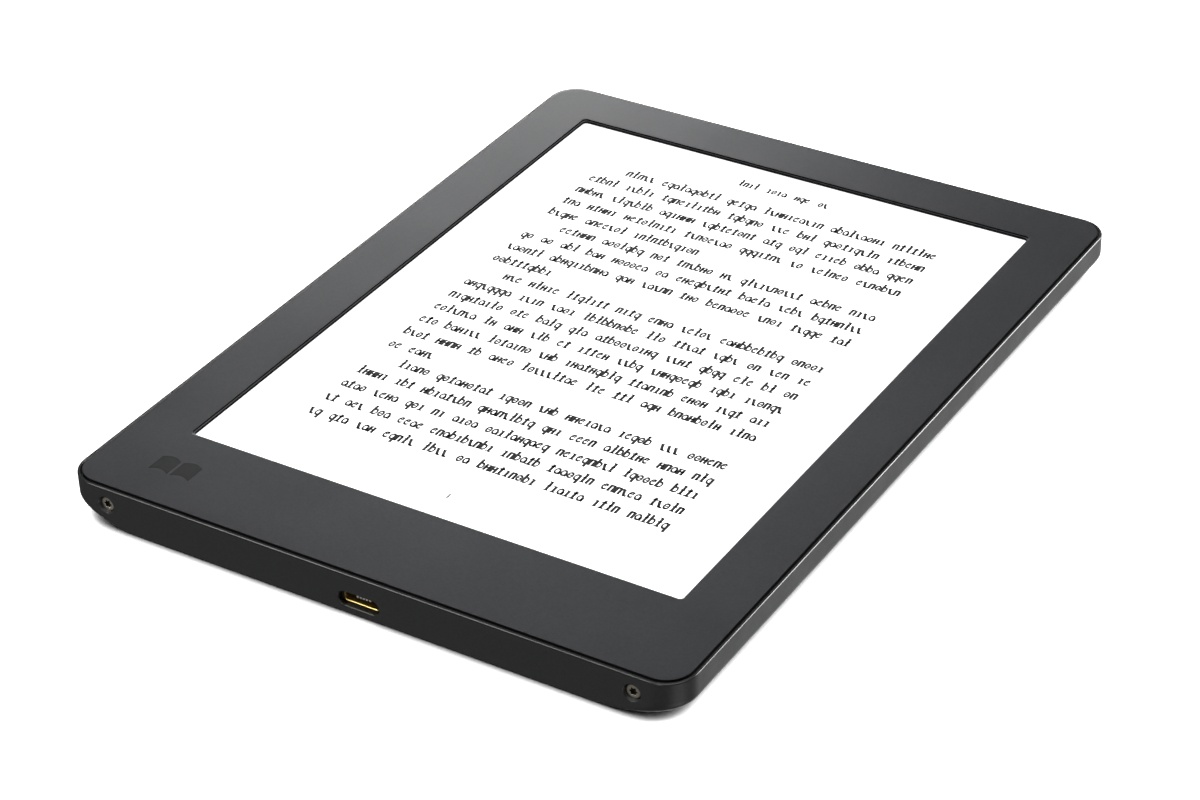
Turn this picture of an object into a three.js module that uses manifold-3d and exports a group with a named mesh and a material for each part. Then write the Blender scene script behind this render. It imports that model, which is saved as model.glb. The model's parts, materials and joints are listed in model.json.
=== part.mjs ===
// An e-reader with a 6.8 inch electronic-ink display, built as an assembly of separate pieces.
//
// Units are millimetres. The reader lies on its back with the screen up: +X is to the reader's right,
// +Y runs from the charging end to the far end, +Z is up out of the screen. The origin is the middle of
// the footprint, on the plane of the back.
import * as THREE from "three";
import { mergeVertices } from "three/addons/utils/BufferGeometryUtils.js";
import Module from "manifold-3d";

const wasm = await Module();
wasm.setup();

// ---------------------------------------------------------------- driving dimensions

const WIDTH = 129;
const LENGTH = 172;
const THICKNESS = 8.8;
const HALF_WIDTH = WIDTH / 2;
const HALF_LENGTH = LENGTH / 2;

// The rear shell is a tub. Its sides and far end roll under to a flat back; the charging end is upright.
const CORNER_RADIUS = 6;
const ROLL_WIDTH = 12;
const ROLL_HEIGHT = 4.5;
const CORNER_GROWTH = 0.2;
const END_EDGE_RADIUS = 0.6;
const WALL = 1.2;
const FLOOR = 1.1;
const RIM_TOP = THICKNESS - 0.25;
const RIM_CHAMFER = 0.25;
const RIM_WALL = 0.65;
const LEDGE_TOP = 7.85;

// The opening for the page, in the front bezel. The lower border is the wide one.
const PAGE_HALF_WIDTH = 52.25;
const PAGE_LOW = -64.2;
const PAGE_HIGH = 73.8;
const PAGE_CORNER = 1;
const LIP_DEPTH = 0.3;
const LIP_WIDTH = 0.3;

// The front bezel drops inside the rim of the tub and leaves a fine groove round it.
const BEZEL_INSET = 1.1;
const BEZEL_EDGE = 0.2;
const BEZEL_UNDER = 8;
const SKIRT_OUTER = WALL + 0.15;
const SKIRT_THICKNESS = 0.8;
const SKIRT_LOW = 6;

// Heights of the display stack, from the top of the cover film down. GAP is the glue line between sheets.
const GAP = 0.05;
const SCREEN_TOP = THICKNESS - 1;
const COVER_THICKNESS = 0.12;
const TOUCH_THICKNESS = 0.3;
const GUIDE_THICKNESS = 0.4;
const INK_THICKNESS = 0.4;
const GLASS_THICKNESS = 0.6;
const STACK_HALF_WIDTH = 56.4;
const STACK_LOW = -75.6;
const STACK_HIGH = 78.6;

// The metal mid frame carries the display above it, and the boards and battery below it.
const FRAME_HIGH = 5.65;
const FRAME_LOW = 4.95;
const BOARD_HIGH = 4.7;
const BOARD_LOW = 3.9;
const PARTS_HIGH = BOARD_LOW - GAP;

// Main board.
const BOARD_HALF_WIDTH = 50;
const BOARD_NEAR = -83;
const BOARD_FAR = -36;
const FLEX_NOTCH_FAR = -74.4;

// Charging port, in the middle of the charging end.
const PORT_HEIGHT = 3;
const PORT_SLOT = { width: 8.6, height: 3 };
const PORT_SIZE = { width: 7.5, height: 2.5, chamfer: 0.75, sheet: 0.25 };
const PORT_MOUTH = -HALF_LENGTH + 1.2;
const PORT_BACK = -79.8;

// The two screws in the charging end that hold the rear shell to the bezel.
const END_SCREW_X = 55.2;
const END_SCREW_Z = 4.9;
const END_SCREW_HEAD_RADIUS = 1.4;
const END_SCREW_HOLE_RADIUS = 1.65;

// Power button in the back, near a far corner, and the light beside it.
const BUTTON_X = -43;
const BUTTON_Y = 60;
const BUTTON_RADIUS = 4.9;
const BUTTON_FACE = 0.25;
const LIGHT_Y = 50.5;

// Flexible circuits that fold round the near edge of the display to sockets under the main board.
const FLEX_THICKNESS = 0.12;
const FLEX_LEVEL = 3.3;
const SOCKET_NEAR = -70.6;
const DISPLAY_FLEX = { low: -37, high: -17 };
const TOUCH_FLEX = { low: 17, high: 27 };
const LIGHT_FLEX = { low: 33, high: 39 };
const BUTTON_FLEX = { low: -41.5, high: -35.5 };

// Battery pocket.
const BATTERY = { left: -20, right: 50, near: -27, far: 59, low: 1.5, high: 4.7 };

// Screws inside.
const SCREW_HEAD_RADIUS = 1.5;
const SCREW_HEAD_HEIGHT = 0.7;
const SCREW_RADIUS = 0.7;
const SCREW_CLEARANCE = 0.85;
const BOARD_SCREWS = [
  [-46, -79],
  [46, -79],
  [-46, -40],
  [46.5, -40],
];
const FRAME_SCREWS = [
  [-59.4, -58],
  [59.4, -58],
  [-59.4, 64],
  [59.4, 64],
];

// ---------------------------------------------------------------- materials

function finish(color, roughness, metalness = 0, opacity = 1) {
  return new THREE.MeshStandardMaterial({ color, roughness, metalness, opacity, transparent: opacity < 1 });
}

const FINISHES = {
  shell: finish(0x2b2c2d, 0.55),
  bezel: finish(0x37383b, 0.5),
  foam: finish(0x0c0c0d, 0.95),
  clear: finish(0xf4f6f6, 0.25, 0, 0.15),
  page: finish(0xf2f2ee, 0.7),
  glass: finish(0x3a4146, 0.15),
  silicon: finish(0x1a1a1c, 0.35),
  flex: finish(0x9a6226, 0.45),
  connector: finish(0xd9d2bf, 0.5),
  magnesium: finish(0xa7a9ab, 0.45, 0.9),
  board: finish(0x16301f, 0.4),
  tin: finish(0xc9cacb, 0.3, 1),
  gold: finish(0xd8a93a, 0.25, 1),
  rubber: finish(0x151516, 0.85),
  pouch: finish(0xb9bcc0, 0.35, 0.6),
  tape: finish(0x1d1d1f, 0.8),
  wireRed: finish(0xa31818, 0.5),
  wireBlack: finish(0x141414, 0.5),
  button: finish(0x1f6f9c, 0.5),
  boot: finish(0xcfd3d4, 0.7, 0, 0.8),
  steel: finish(0x8f8672, 0.35, 1),
  zinc: finish(0xb4b6b8, 0.35, 1),
};

// ---------------------------------------------------------------- shapes

// A rounded rectangle as a counter-clockwise list of points.
function roundedOutline(left, right, low, high, radius, steps = 6) {
  const corners = [
    [right - radius, low + radius, -Math.PI / 2],
    [right - radius, high - radius, 0],
    [left + radius, high - radius, Math.PI / 2],
    [left + radius, low + radius, Math.PI],
  ];
  const points = [];
  for (const [x, y, start] of corners) {
    for (let k = 0; k <= steps; k++) {
      const angle = start + ((Math.PI / 2) * k) / steps;
      points.push(new THREE.Vector2(x + radius * Math.cos(angle), y + radius * Math.sin(angle)));
    }
  }
  return points;
}

// The reader's outline, drawn in from its edge by an offset.
function readerOutline(offset) {
  return roundedOutline(
    -HALF_WIDTH + offset,
    HALF_WIDTH - offset,
    -HALF_LENGTH + offset,
    HALF_LENGTH - offset,
    CORNER_RADIUS - offset,
  );
}

function prism(points, low, high) {
  const shape = new THREE.Shape(points);
  const geometry = new THREE.ExtrudeGeometry(shape, { depth: high - low, bevelEnabled: false });
  return geometry.translate(0, 0, low);
}

function box(left, right, near, far, low, high) {
  const geometry = new THREE.BoxGeometry(right - left, far - near, high - low);
  return geometry.translate((left + right) / 2, (near + far) / 2, (low + high) / 2);
}

// A box with rounded upright corners, given by its middle and size in plan.
function chip(x, y, width, length, low, high, radius = 0.2) {
  const points = roundedOutline(x - width / 2, x + width / 2, y - length / 2, y + length / 2, radius, 2);
  return prism(points, low, high);
}

function upright(x, y, radius, low, high, sides = 20) {
  const geometry = new THREE.CylinderGeometry(radius, radius, high - low, sides);
  return geometry.rotateX(Math.PI / 2).translate(x, y, (low + high) / 2);
}

// A cylinder along Y.
function alongY(x, z, radius, near, far, sides = 20) {
  const geometry = new THREE.CylinderGeometry(radius, radius, far - near, sides);
  return geometry.translate(x, (near + far) / 2, z);
}

// A closed skin through rings of equally many points, each ring convex and flat.
function loft(rings) {
  const count = rings[0].length;
  const positions = rings.flat().flatMap((p) => [p.x, p.y, p.z]);
  const faces = [];
  for (let ring = 0; ring < rings.length - 1; ring++) {
    for (let k = 0; k < count; k++) {
      const a = ring * count + k;
      const b = ring * count + ((k + 1) % count);
      faces.push(a, b, b + count, a, b + count, a + count);
    }
  }
  const top = (rings.length - 1) * count;
  for (let k = 1; k < count - 1; k++) {
    faces.push(0, k + 1, k);
    faces.push(top, top + k, top + k + 1);
  }
  const geometry = new THREE.BufferGeometry();
  geometry.setAttribute("position", new THREE.Float32BufferAttribute(positions, 3));
  geometry.setIndex(faces);
  return geometry;
}

function atHeight(points, z) {
  return points.map((p) => new THREE.Vector3(p.x, p.y, z));
}

// A strip of constant thickness across X that follows a line of [y, z] points.
function strip(line, left, right, thickness) {
  const side = (sign) =>
    line.map(([y, z], k) => {
      const before = line[Math.max(k - 1, 0)];
      const after = line[Math.min(k + 1, line.length - 1)];
      const dy = after[0] - before[0];
      const dz = after[1] - before[1];
      const length = Math.hypot(dy, dz);
      const shift = (sign * thickness) / 2 / length;
      return new THREE.Vector2(y - dz * shift, z + dy * shift);
    });
  const shape = new THREE.Shape([...side(1), ...side(-1).reverse()]);
  const geometry = new THREE.ExtrudeGeometry(shape, { depth: right - left, bevelEnabled: false });
  // The shape's own x and y are the reader's Y and Z, and its depth is the reader's X.
  const turn = new THREE.Matrix4().makeBasis(
    new THREE.Vector3(0, 1, 0),
    new THREE.Vector3(0, 0, 1),
    new THREE.Vector3(1, 0, 0),
  );
  return geometry.applyMatrix4(turn).translate(left, 0, 0);
}

// A round tube along a smooth curve through the given points.
function wire(points, radius, steps) {
  const curve = new THREE.CatmullRomCurve3(points.map((p) => new THREE.Vector3(...p)));
  const section = [];
  const sides = 8;
  for (let k = 0; k < sides; k++) {
    const angle = (2 * Math.PI * k) / sides;
    section.push(new THREE.Vector2(radius * Math.cos(angle), radius * Math.sin(angle)));
  }
  return new THREE.ExtrudeGeometry(new THREE.Shape(section), { steps, extrudePath: curve });
}

// ---------------------------------------------------------------- solid modelling

function solid(geometry) {
  const bare = geometry.clone();
  for (const name of Object.keys(bare.attributes)) {
    if (name !== "position") bare.deleteAttribute(name);
  }
  const merged = mergeVertices(bare, 1e-4);
  return new wasm.Manifold(
    new wasm.Mesh({
      numProp: 3,
      vertProperties: merged.attributes.position.array,
      triVerts: new Uint32Array(merged.index.array),
    }),
  );
}

function join(...geometries) {
  return geometries.map(solid).reduce((all, next) => all.add(next));
}

function cut(body, ...geometries) {
  return geometries.map(solid).reduce((all, next) => all.subtract(next), body);
}

function geometryOf(body) {
  const mesh = body.getMesh();
  const geometry = new THREE.BufferGeometry();
  geometry.setAttribute("position", new THREE.BufferAttribute(mesh.vertProperties, mesh.numProp));
  geometry.setIndex(new THREE.BufferAttribute(mesh.triVerts, 1));
  geometry.computeVertexNormals();
  return geometry;
}

const reader = new THREE.Group();

function place(name, shape, material) {
  const geometry = shape.isBufferGeometry ? shape : geometryOf(shape);
  const mesh = new THREE.Mesh(geometry, material);
  mesh.name = name;
  reader.add(mesh);
  return mesh;
}

const bothSides = (make) => [make(-1), make(1)];

// ---------------------------------------------------------------- rear shell

// Rings up one side of the tub's rolled form. offset draws it in, base lifts it.
function rollRings(offset, base, rollWidth, rollHeight, edgeRadius, steps = 6) {
  const rings = [];
  for (let k = 0; k <= steps; k++) {
    const angle = (1 - k / steps) * (Math.PI / 2);
    const roll = rollWidth * (1 - Math.cos(angle));
    const rise = rollHeight * (1 - Math.sin(angle));
    const below = Math.max(edgeRadius - rise, 0);
    const edge = edgeRadius - Math.sqrt(edgeRadius * edgeRadius - below * below);
    const side = HALF_WIDTH - offset - roll;
    const outline = roundedOutline(
      -side,
      side,
      -HALF_LENGTH + offset + edge,
      HALF_LENGTH - offset - roll,
      CORNER_RADIUS - offset + CORNER_GROWTH * roll,
    );
    rings.push(atHeight(outline, base + rise));
  }
  return rings;
}

function tubOutside() {
  const rings = rollRings(0, 0, ROLL_WIDTH, ROLL_HEIGHT, END_EDGE_RADIUS);
  rings.push(atHeight(readerOutline(0), RIM_TOP - RIM_CHAMFER));
  rings.push(atHeight(readerOutline(RIM_CHAMFER), RIM_TOP));
  return loft(rings);
}

function tubInside() {
  const rings = rollRings(WALL, FLOOR, ROLL_WIDTH - WALL, ROLL_HEIGHT - FLOOR, 0);
  rings.push(atHeight(readerOutline(WALL), THICKNESS));
  return loft(rings);
}

// A slot with round ends, through the charging end.
function portSlot(grow, near, far) {
  const halfWidth = PORT_SLOT.width / 2 + grow;
  const halfHeight = PORT_SLOT.height / 2 + grow;
  const outline = roundedOutline(-halfWidth, halfWidth, -halfHeight, halfHeight, halfHeight - 0.01);
  return prism(outline, 0, far - near)
    .rotateX(Math.PI / 2)
    .translate(0, far, PORT_HEIGHT);
}

// Hook windows along the long walls, where the bezel's hooks catch.
const HOOK_PLACES = [-45, -15, 15, 45];
const HOOK_LENGTH = 7;
const HOOK_LOW = 6.3;
const HOOK_HIGH = 6.9;
const HOOK_REACH = 0.35;

function rearShell() {
  const screwPad = (side) =>
    box(side * END_SCREW_X - 3, side * END_SCREW_X + 3, -85, -83.6, FLOOR - 0.3, 7.5);
  const supportPosts = [
    [-56.5, 20],
    [56.5, 20],
    [-56.5, -30],
    [56.5, -30],
    [-28, 72],
    [28, 76],
  ];
  const floorRib = (y) => box(-48, 48, y - 0.4, y + 0.4, FLOOR - 0.2, FLOOR + 0.25);
  const buttonCollar = upright(BUTTON_X, BUTTON_Y, BUTTON_RADIUS + 3.2, FLOOR - 0.2, FLOOR + 0.6, 32);
  const collarWell = upright(BUTTON_X, BUTTON_Y, BUTTON_RADIUS + 2, FLOOR, FLOOR + 1, 32);
  let body = cut(solid(tubOutside()), tubInside());
  body = body.add(
    join(
      ...bothSides(screwPad),
      ...supportPosts.map(([x, y]) => upright(x, y, 1.5, 0.7, FRAME_LOW - GAP, 12)),
      ...[-62, -32, 66].map(floorRib),
      buttonCollar,
    ),
  );
  const hookWindow = (side, y) => {
    const inner = HALF_WIDTH - WALL - 0.1;
    const outer = inner + 0.1 + HOOK_REACH + 0.15;
    return box(
      Math.min(side * inner, side * outer),
      Math.max(side * inner, side * outer),
      y - HOOK_LENGTH / 2 - 0.3,
      y + HOOK_LENGTH / 2 + 0.3,
      HOOK_LOW - 0.2,
      HOOK_HIGH + 0.2,
    );
  };
  return cut(
    body,
    prism(readerOutline(RIM_WALL), LEDGE_TOP, THICKNESS + 1),
    collarWell,
    upright(BUTTON_X, BUTTON_Y, BUTTON_RADIUS + 0.2, -1, FLOOR + 1, 32),
    upright(BUTTON_X, LIGHT_Y, 0.95, -1, FLOOR + 1, 12),
    portSlot(0, -HALF_LENGTH - 1, -84),
    ...bothSides((side) =>
      alongY(side * END_SCREW_X, END_SCREW_Z, END_SCREW_HOLE_RADIUS, -HALF_LENGTH - 1, -84.7),
    ),
    ...bothSides((side) => alongY(side * END_SCREW_X, END_SCREW_Z, SCREW_CLEARANCE, -85, -83)),
    ...HOOK_PLACES.flatMap((y) => bothSides((side) => hookWindow(side, y))),
  );
}

// ---------------------------------------------------------------- front bezel and its screws

function pageOutline(grow, radius) {
  return roundedOutline(
    -PAGE_HALF_WIDTH - grow,
    PAGE_HALF_WIDTH + grow,
    PAGE_LOW - grow,
    PAGE_HIGH + grow,
    radius,
    4,
  );
}

function frontBezel() {
  const plate = loft([
    atHeight(readerOutline(BEZEL_INSET), BEZEL_UNDER),
    atHeight(readerOutline(BEZEL_INSET), THICKNESS - BEZEL_EDGE),
    atHeight(readerOutline(BEZEL_INSET + BEZEL_EDGE * 0.3), THICKNESS - BEZEL_EDGE * 0.3),
    atHeight(readerOutline(BEZEL_INSET + BEZEL_EDGE), THICKNESS),
  ]);
  const skirt = cut(
    solid(prism(readerOutline(SKIRT_OUTER), SKIRT_LOW, BEZEL_UNDER + 0.1)),
    prism(readerOutline(SKIRT_OUTER + SKIRT_THICKNESS), SKIRT_LOW - 1, BEZEL_UNDER),
    ...bothSides((side) =>
      box(side * END_SCREW_X - 3.4, side * END_SCREW_X + 3.4, -85.5, -83.2, SKIRT_LOW - 1, 7.75),
    ),
  );
  const hook = (side, y) => {
    const inner = HALF_WIDTH - SKIRT_OUTER - 0.3;
    const outer = HALF_WIDTH - WALL + HOOK_REACH - 0.1;
    return box(
      Math.min(side * inner, side * outer),
      Math.max(side * inner, side * outer),
      y - HOOK_LENGTH / 2,
      y + HOOK_LENGTH / 2,
      HOOK_LOW,
      HOOK_HIGH,
    );
  };
  const lug = (side) =>
    box(side * END_SCREW_X - 2.6, side * END_SCREW_X + 2.6, -83.4, -79, 3.2, BEZEL_UNDER + 0.1);
  const boss = ([x, y]) => upright(x, y, 1.9, FRAME_HIGH + GAP, BEZEL_UNDER + 0.1, 16);
  const body = solid(plate)
    .add(skirt)
    .add(
      join(
        ...HOOK_PLACES.flatMap((y) => bothSides((side) => hook(side, y))),
        ...bothSides(lug),
        ...FRAME_SCREWS.map(boss),
      ),
    );
  return cut(
    body,
    prism(pageOutline(0, PAGE_CORNER), THICKNESS - LIP_DEPTH, THICKNESS + 1),
    prism(pageOutline(-LIP_WIDTH, PAGE_CORNER - LIP_WIDTH * 0.6), 0, THICKNESS),
    ...bothSides((side) => alongY(side * END_SCREW_X, END_SCREW_Z, SCREW_CLEARANCE, -84, -79.8, 16)),
    ...FRAME_SCREWS.map(([x, y]) => upright(x, y, SCREW_CLEARANCE, 5, 7.5, 16)),
  );
}

// A six-lobed driver recess, as an outline round the screw's axis.
function starOutline(radius, lobes = 6, steps = 24) {
  const points = [];
  for (let k = 0; k < steps; k++) {
    const angle = (2 * Math.PI * k) / steps;
    const reach = radius * (1 + 0.16 * Math.cos(lobes * angle));
    points.push(new THREE.Vector2(reach * Math.cos(angle), reach * Math.sin(angle)));
  }
  return points;
}

// A screw standing on its tip, with its head's flat face at z = 0 and its shank going up.
function screw(headRadius, headHeight, radius, length, sides = 20) {
  const rings = [
    [headRadius - 0.15, 0],
    [headRadius, 0.15],
    [headRadius, headHeight],
    [radius, headHeight],
    [radius, headHeight + length - 0.3],
    [radius - 0.3, headHeight + length],
  ];
  const profile = [[0, 0], ...rings, [0, headHeight + length]].map(([x, y]) => new THREE.Vector2(x, y));
  const turned = new THREE.LatheGeometry(profile, sides).rotateX(Math.PI / 2);
  return cut(solid(turned), prism(starOutline(headRadius * 0.46), -1, headHeight * 0.7));
}

function endScrew(side) {
  const head = 0.75;
  const body = screw(END_SCREW_HEAD_RADIUS, head, SCREW_RADIUS, 4.5, 24);
  return geometryOf(body)
    .rotateX(-Math.PI / 2)
    .translate(side * END_SCREW_X, -HALF_LENGTH + 0.5, END_SCREW_Z);
}

// ---------------------------------------------------------------- display stack

const COVER_LOW = SCREEN_TOP - COVER_THICKNESS;
const TOUCH_HIGH = COVER_LOW - GAP;
const TOUCH_LOW = TOUCH_HIGH - TOUCH_THICKNESS;
const GUIDE_HIGH = TOUCH_LOW - GAP;
const GUIDE_LOW = GUIDE_HIGH - GUIDE_THICKNESS;
const INK_HIGH = GUIDE_LOW - GAP;
const INK_LOW = INK_HIGH - INK_THICKNESS;
const GLASS_HIGH = INK_LOW - GAP;
const GLASS_LOW = GLASS_HIGH - GLASS_THICKNESS;
const GUIDE_NEAR = -70.5;

function sheet(halfWidth, near, far, low, high, radius = 0.6) {
  return prism(roundedOutline(-halfWidth, halfWidth, near, far, radius, 3), low, high);
}

function bezelGasket() {
  return cut(
    solid(sheet(STACK_HALF_WIDTH, STACK_LOW, STACK_HIGH, SCREEN_TOP + 0.03, BEZEL_UNDER - 0.03)),
    prism(pageOutline(0.4, PAGE_CORNER), SCREEN_TOP - 1, BEZEL_UNDER + 1),
  );
}

function ledStrip() {
  const count = 9;
  const pitch = 11;
  const flex = box(-52, 52, STACK_LOW + 0.4, GUIDE_NEAR - 0.3, GUIDE_HIGH - 0.1, GUIDE_HIGH);
  const leds = [];
  for (let k = 0; k < count; k++) {
    const x = (k - (count - 1) / 2) * pitch;
    leds.push(box(x - 1.6, x + 1.6, GUIDE_NEAR - 1.5, GUIDE_NEAR - 0.15, GUIDE_LOW, GUIDE_HIGH - 0.05));
  }
  return join(flex, ...leds);
}

// The line of a flexible circuit that leaves the display's near edge at a height, turns down through
// the frame and the board at a distance y, and turns back under the board into its socket.
function foldedLine(startY, startZ, turnY) {
  const line = [[startY, startZ]];
  const bend = 0.9;
  const turn = (centreY, centreZ, from, to) => {
    const steps = 5;
    for (let k = 0; k <= steps; k++) {
      const angle = from + ((to - from) * k) / steps;
      line.push([centreY + bend * Math.cos(angle), centreZ + bend * Math.sin(angle)]);
    }
  };
  turn(turnY + bend, startZ - bend, Math.PI / 2, Math.PI);
  turn(turnY + bend, FLEX_LEVEL + bend, Math.PI, Math.PI * 1.5);
  line.push([SOCKET_NEAR + 1.8, FLEX_LEVEL]);
  return line;
}

function foldedFlex(span, startY, startZ, turnY) {
  return strip(foldedLine(startY, startZ, turnY), span.low, span.high, FLEX_THICKNESS);
}

// A flat-flex socket under a board. mouth is -1 where the flex enters from the near side, +1 from the far.
function flexSocket(span, near, far, mouth) {
  const body = box(span.low - 1.4, span.high + 1.4, near, far, FLEX_LEVEL - 0.4, PARTS_HIGH);
  const lip = box(
    span.low - 1,
    span.high + 1,
    mouth < 0 ? near - 0.5 : far - 0.3,
    mouth < 0 ? near + 0.3 : far + 0.5,
    FLEX_LEVEL + 0.2,
    PARTS_HIGH,
  );
  const slot = box(
    span.low - 0.2,
    span.high + 0.2,
    mouth < 0 ? near - 1 : far - 2.1,
    mouth < 0 ? near + 2.1 : far + 1,
    FLEX_LEVEL - 0.15,
    FLEX_LEVEL + 0.15,
  );
  return cut(join(body, lip), slot);
}

// ---------------------------------------------------------------- mid frame

function midFrame() {
  const plate = prism(readerOutline(2.4), FRAME_LOW, FRAME_HIGH);
  const boardPad = ([x, y]) => upright(x, y, 2.3, BOARD_HIGH + GAP, FRAME_LOW + 0.1, 14);
  const pocketWall = cut(
    solid(
      box(BATTERY.left - 1.2, BATTERY.right + 1.2, BATTERY.near - 5.4, BATTERY.far + 1.2, 2, FRAME_LOW + 0.1),
    ),
    box(BATTERY.left - 0.4, BATTERY.right + 0.4, BATTERY.near - 4.6, BATTERY.far + 0.4, 1, FRAME_LOW + 0.2),
    box(-2, 30, BATTERY.near - 7, BATTERY.near - 4, 1, FRAME_LOW),
  );
  const flexSlot = (span) => box(span.low - 0.8, span.high + 0.8, -79, -75.1, 4, 6);
  const lugNotch = (side) => {
    const inner = END_SCREW_X - 3.2;
    const outer = HALF_WIDTH + 1;
    return box(Math.min(side * inner, side * outer), Math.max(side * inner, side * outer), -90, -78.6, 4, 6);
  };
  const window = (left, right, near, far) => prism(roundedOutline(left, right, near, far, 2, 3), 4, 6);
  return cut(
    solid(plate)
      .add(pocketWall)
      .add(join(...BOARD_SCREWS.map(boardPad), ...BUTTON_BOARD_PADS.map(boardPad))),
    ...[DISPLAY_FLEX, TOUCH_FLEX, LIGHT_FLEX].map(flexSlot),
    ...bothSides(lugNotch),
    window(-52, -26, -26, 8),
    window(-52, -26, 14, 38),
    window(4, 48, 64, 74),
    ...BOARD_SCREWS.map(([x, y]) => upright(x, y, SCREW_CLEARANCE, 4, 6, 14)),
    ...FRAME_SCREWS.map(([x, y]) => upright(x, y, SCREW_CLEARANCE, 4, 6, 14)),
  );
}

// ---------------------------------------------------------------- boards

function mainBoard() {
  const outline = roundedOutline(-BOARD_HALF_WIDTH, BOARD_HALF_WIDTH, BOARD_NEAR, BOARD_FAR, 1.5, 3);
  const notch = (span) => box(span.low - 0.8, span.high + 0.8, -90, FLEX_NOTCH_FAR, 3, 6);
  const halfPort = PORT_SIZE.width / 2 + 0.25;
  return cut(
    solid(prism(outline, BOARD_LOW, BOARD_HIGH)),
    ...[DISPLAY_FLEX, TOUCH_FLEX, LIGHT_FLEX].map(notch),
    box(-halfPort, halfPort, -90, PORT_BACK + 0.25, 3, 6),
    ...BOARD_SCREWS.map(([x, y]) => upright(x, y, SCREW_CLEARANCE, 3, 6, 14)),
  );
}

function boardScrew([x, y]) {
  const body = screw(SCREW_HEAD_RADIUS, SCREW_HEAD_HEIGHT, SCREW_RADIUS, 1.6, 16);
  return geometryOf(body).translate(x, y, BOARD_LOW - GAP - SCREW_HEAD_HEIGHT);
}

function frameScrew([x, y]) {
  const body = screw(SCREW_HEAD_RADIUS, SCREW_HEAD_HEIGHT, SCREW_RADIUS, 2.3, 16);
  return geometryOf(body).translate(x, y, FRAME_LOW - GAP - SCREW_HEAD_HEIGHT);
}

// A folded tin can, open towards the board.
function shieldCan(x, y, width, length, low) {
  const sheetMetal = 0.2;
  return cut(
    solid(chip(x, y, width, length, low, PARTS_HIGH, 0.5)),
    chip(x, y, width - 2 * sheetMetal, length - 2 * sheetMetal, low + sheetMetal, 5, 0.35),
  );
}

function wifiModule() {
  return join(chip(35, -51, 15, 13, 3.35, PARTS_HIGH, 0.3), chip(35, -51, 14, 12, 2.1, 3.45, 0.5));
}

const CARD = { x: -37, y: -50, width: 11, length: 15, low: 2.85, high: 3.55 };

function cardSocket() {
  const { x, y, width, length, low, high } = CARD;
  return cut(
    solid(chip(x, y, width + 2.6, length - 0.8, low - 0.45, PARTS_HIGH, 0.3)),
    box(x - width / 2 - 0.15, x + width / 2 + 0.15, y - length, y + length / 2 - 1.6, low - 0.1, high + 0.1),
    box(x - 3, x + 3, y - 5.5, y + 1.5, 1, low + 0.1),
  );
}

function memoryCard() {
  const { x, y, width, length, low, high } = CARD;
  const outline = roundedOutline(
    x - width / 2,
    x + width / 2,
    y - length / 2 - 1.8,
    y + length / 2 - 1.8,
    0.8,
    3,
  );
  const notch = box(x + width / 2 - 0.7, x + width, y + 1, y + 3.2, 1, 5);
  return cut(solid(prism(outline, low, high)), notch);
}

// ---------------------------------------------------------------- charging port

// The port's section across the mouth: wide at the bottom, chamfered at the two upper corners.
function portOutline(inset) {
  const halfWidth = PORT_SIZE.width / 2 - inset;
  const low = -PORT_SIZE.height / 2 + inset;
  const high = PORT_SIZE.height / 2 - inset;
  const slope = PORT_SIZE.chamfer;
  const rounding = Math.max(0.5 - inset, 0.2);
  const points = [];
  for (const [centre, start] of [
    [halfWidth - rounding, -Math.PI / 2],
    [-halfWidth + rounding, Math.PI],
  ]) {
    for (let k = 0; k <= 4; k++) {
      const angle = start + ((Math.PI / 2) * k) / 4;
      points.push(
        new THREE.Vector2(centre + rounding * Math.cos(angle), low + rounding + rounding * Math.sin(angle)),
      );
    }
    if (start < 0) {
      points.push(new THREE.Vector2(halfWidth, high - slope));
      points.push(new THREE.Vector2(halfWidth - slope, high));
      points.push(new THREE.Vector2(-halfWidth + slope, high));
      points.push(new THREE.Vector2(-halfWidth, high - slope));
    }
  }
  return points;
}

function acrossMouth(outline, near, far) {
  return prism(outline, 0, far - near)
    .rotateX(Math.PI / 2)
    .translate(0, far, PORT_HEIGHT);
}

function portShell() {
  const ear = (side) => {
    const inner = side * (PORT_SIZE.width / 2 - 0.4);
    const outer = side * (PORT_SIZE.width / 2 + 1.3);
    return box(Math.min(inner, outer), Math.max(inner, outer), -82.2, -80.6, PARTS_HIGH - 0.25, PARTS_HIGH);
  };
  return cut(
    join(acrossMouth(portOutline(0), PORT_MOUTH, PORT_BACK), ...bothSides(ear)),
    acrossMouth(portOutline(PORT_SIZE.sheet), PORT_MOUTH - 1, PORT_BACK + 1),
  );
}

function portTongue() {
  const fit = PORT_SIZE.sheet + 0.06;
  return join(
    acrossMouth(portOutline(fit), PORT_BACK - 2.4, PORT_BACK - 0.1),
    box(-1.95, 1.95, PORT_MOUTH + 0.6, PORT_BACK - 2.3, PORT_HEIGHT + 0.12, PORT_HEIGHT + 0.62),
  );
}

function portGasket() {
  const outer = roundedOutline(-5.2, 5.2, -1.8, 2.1, 1.2, 4);
  return cut(solid(acrossMouth(outer, -84.7, -83.9)), acrossMouth(portOutline(-0.12), -86, -83));
}

// ---------------------------------------------------------------- battery

function batteryCell() {
  const { left, right, near, far, low, high } = BATTERY;
  const fold = (inset, z) => atHeight(roundedOutline(left + inset, right - inset, near, far - inset, 2, 3), z);
  return loft([fold(0.9, low), fold(0.3, low + 0.35), fold(0, low + 1), fold(0, high - 0.5), fold(0.4, high)]);
}

// ---------------------------------------------------------------- power button and its board

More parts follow.
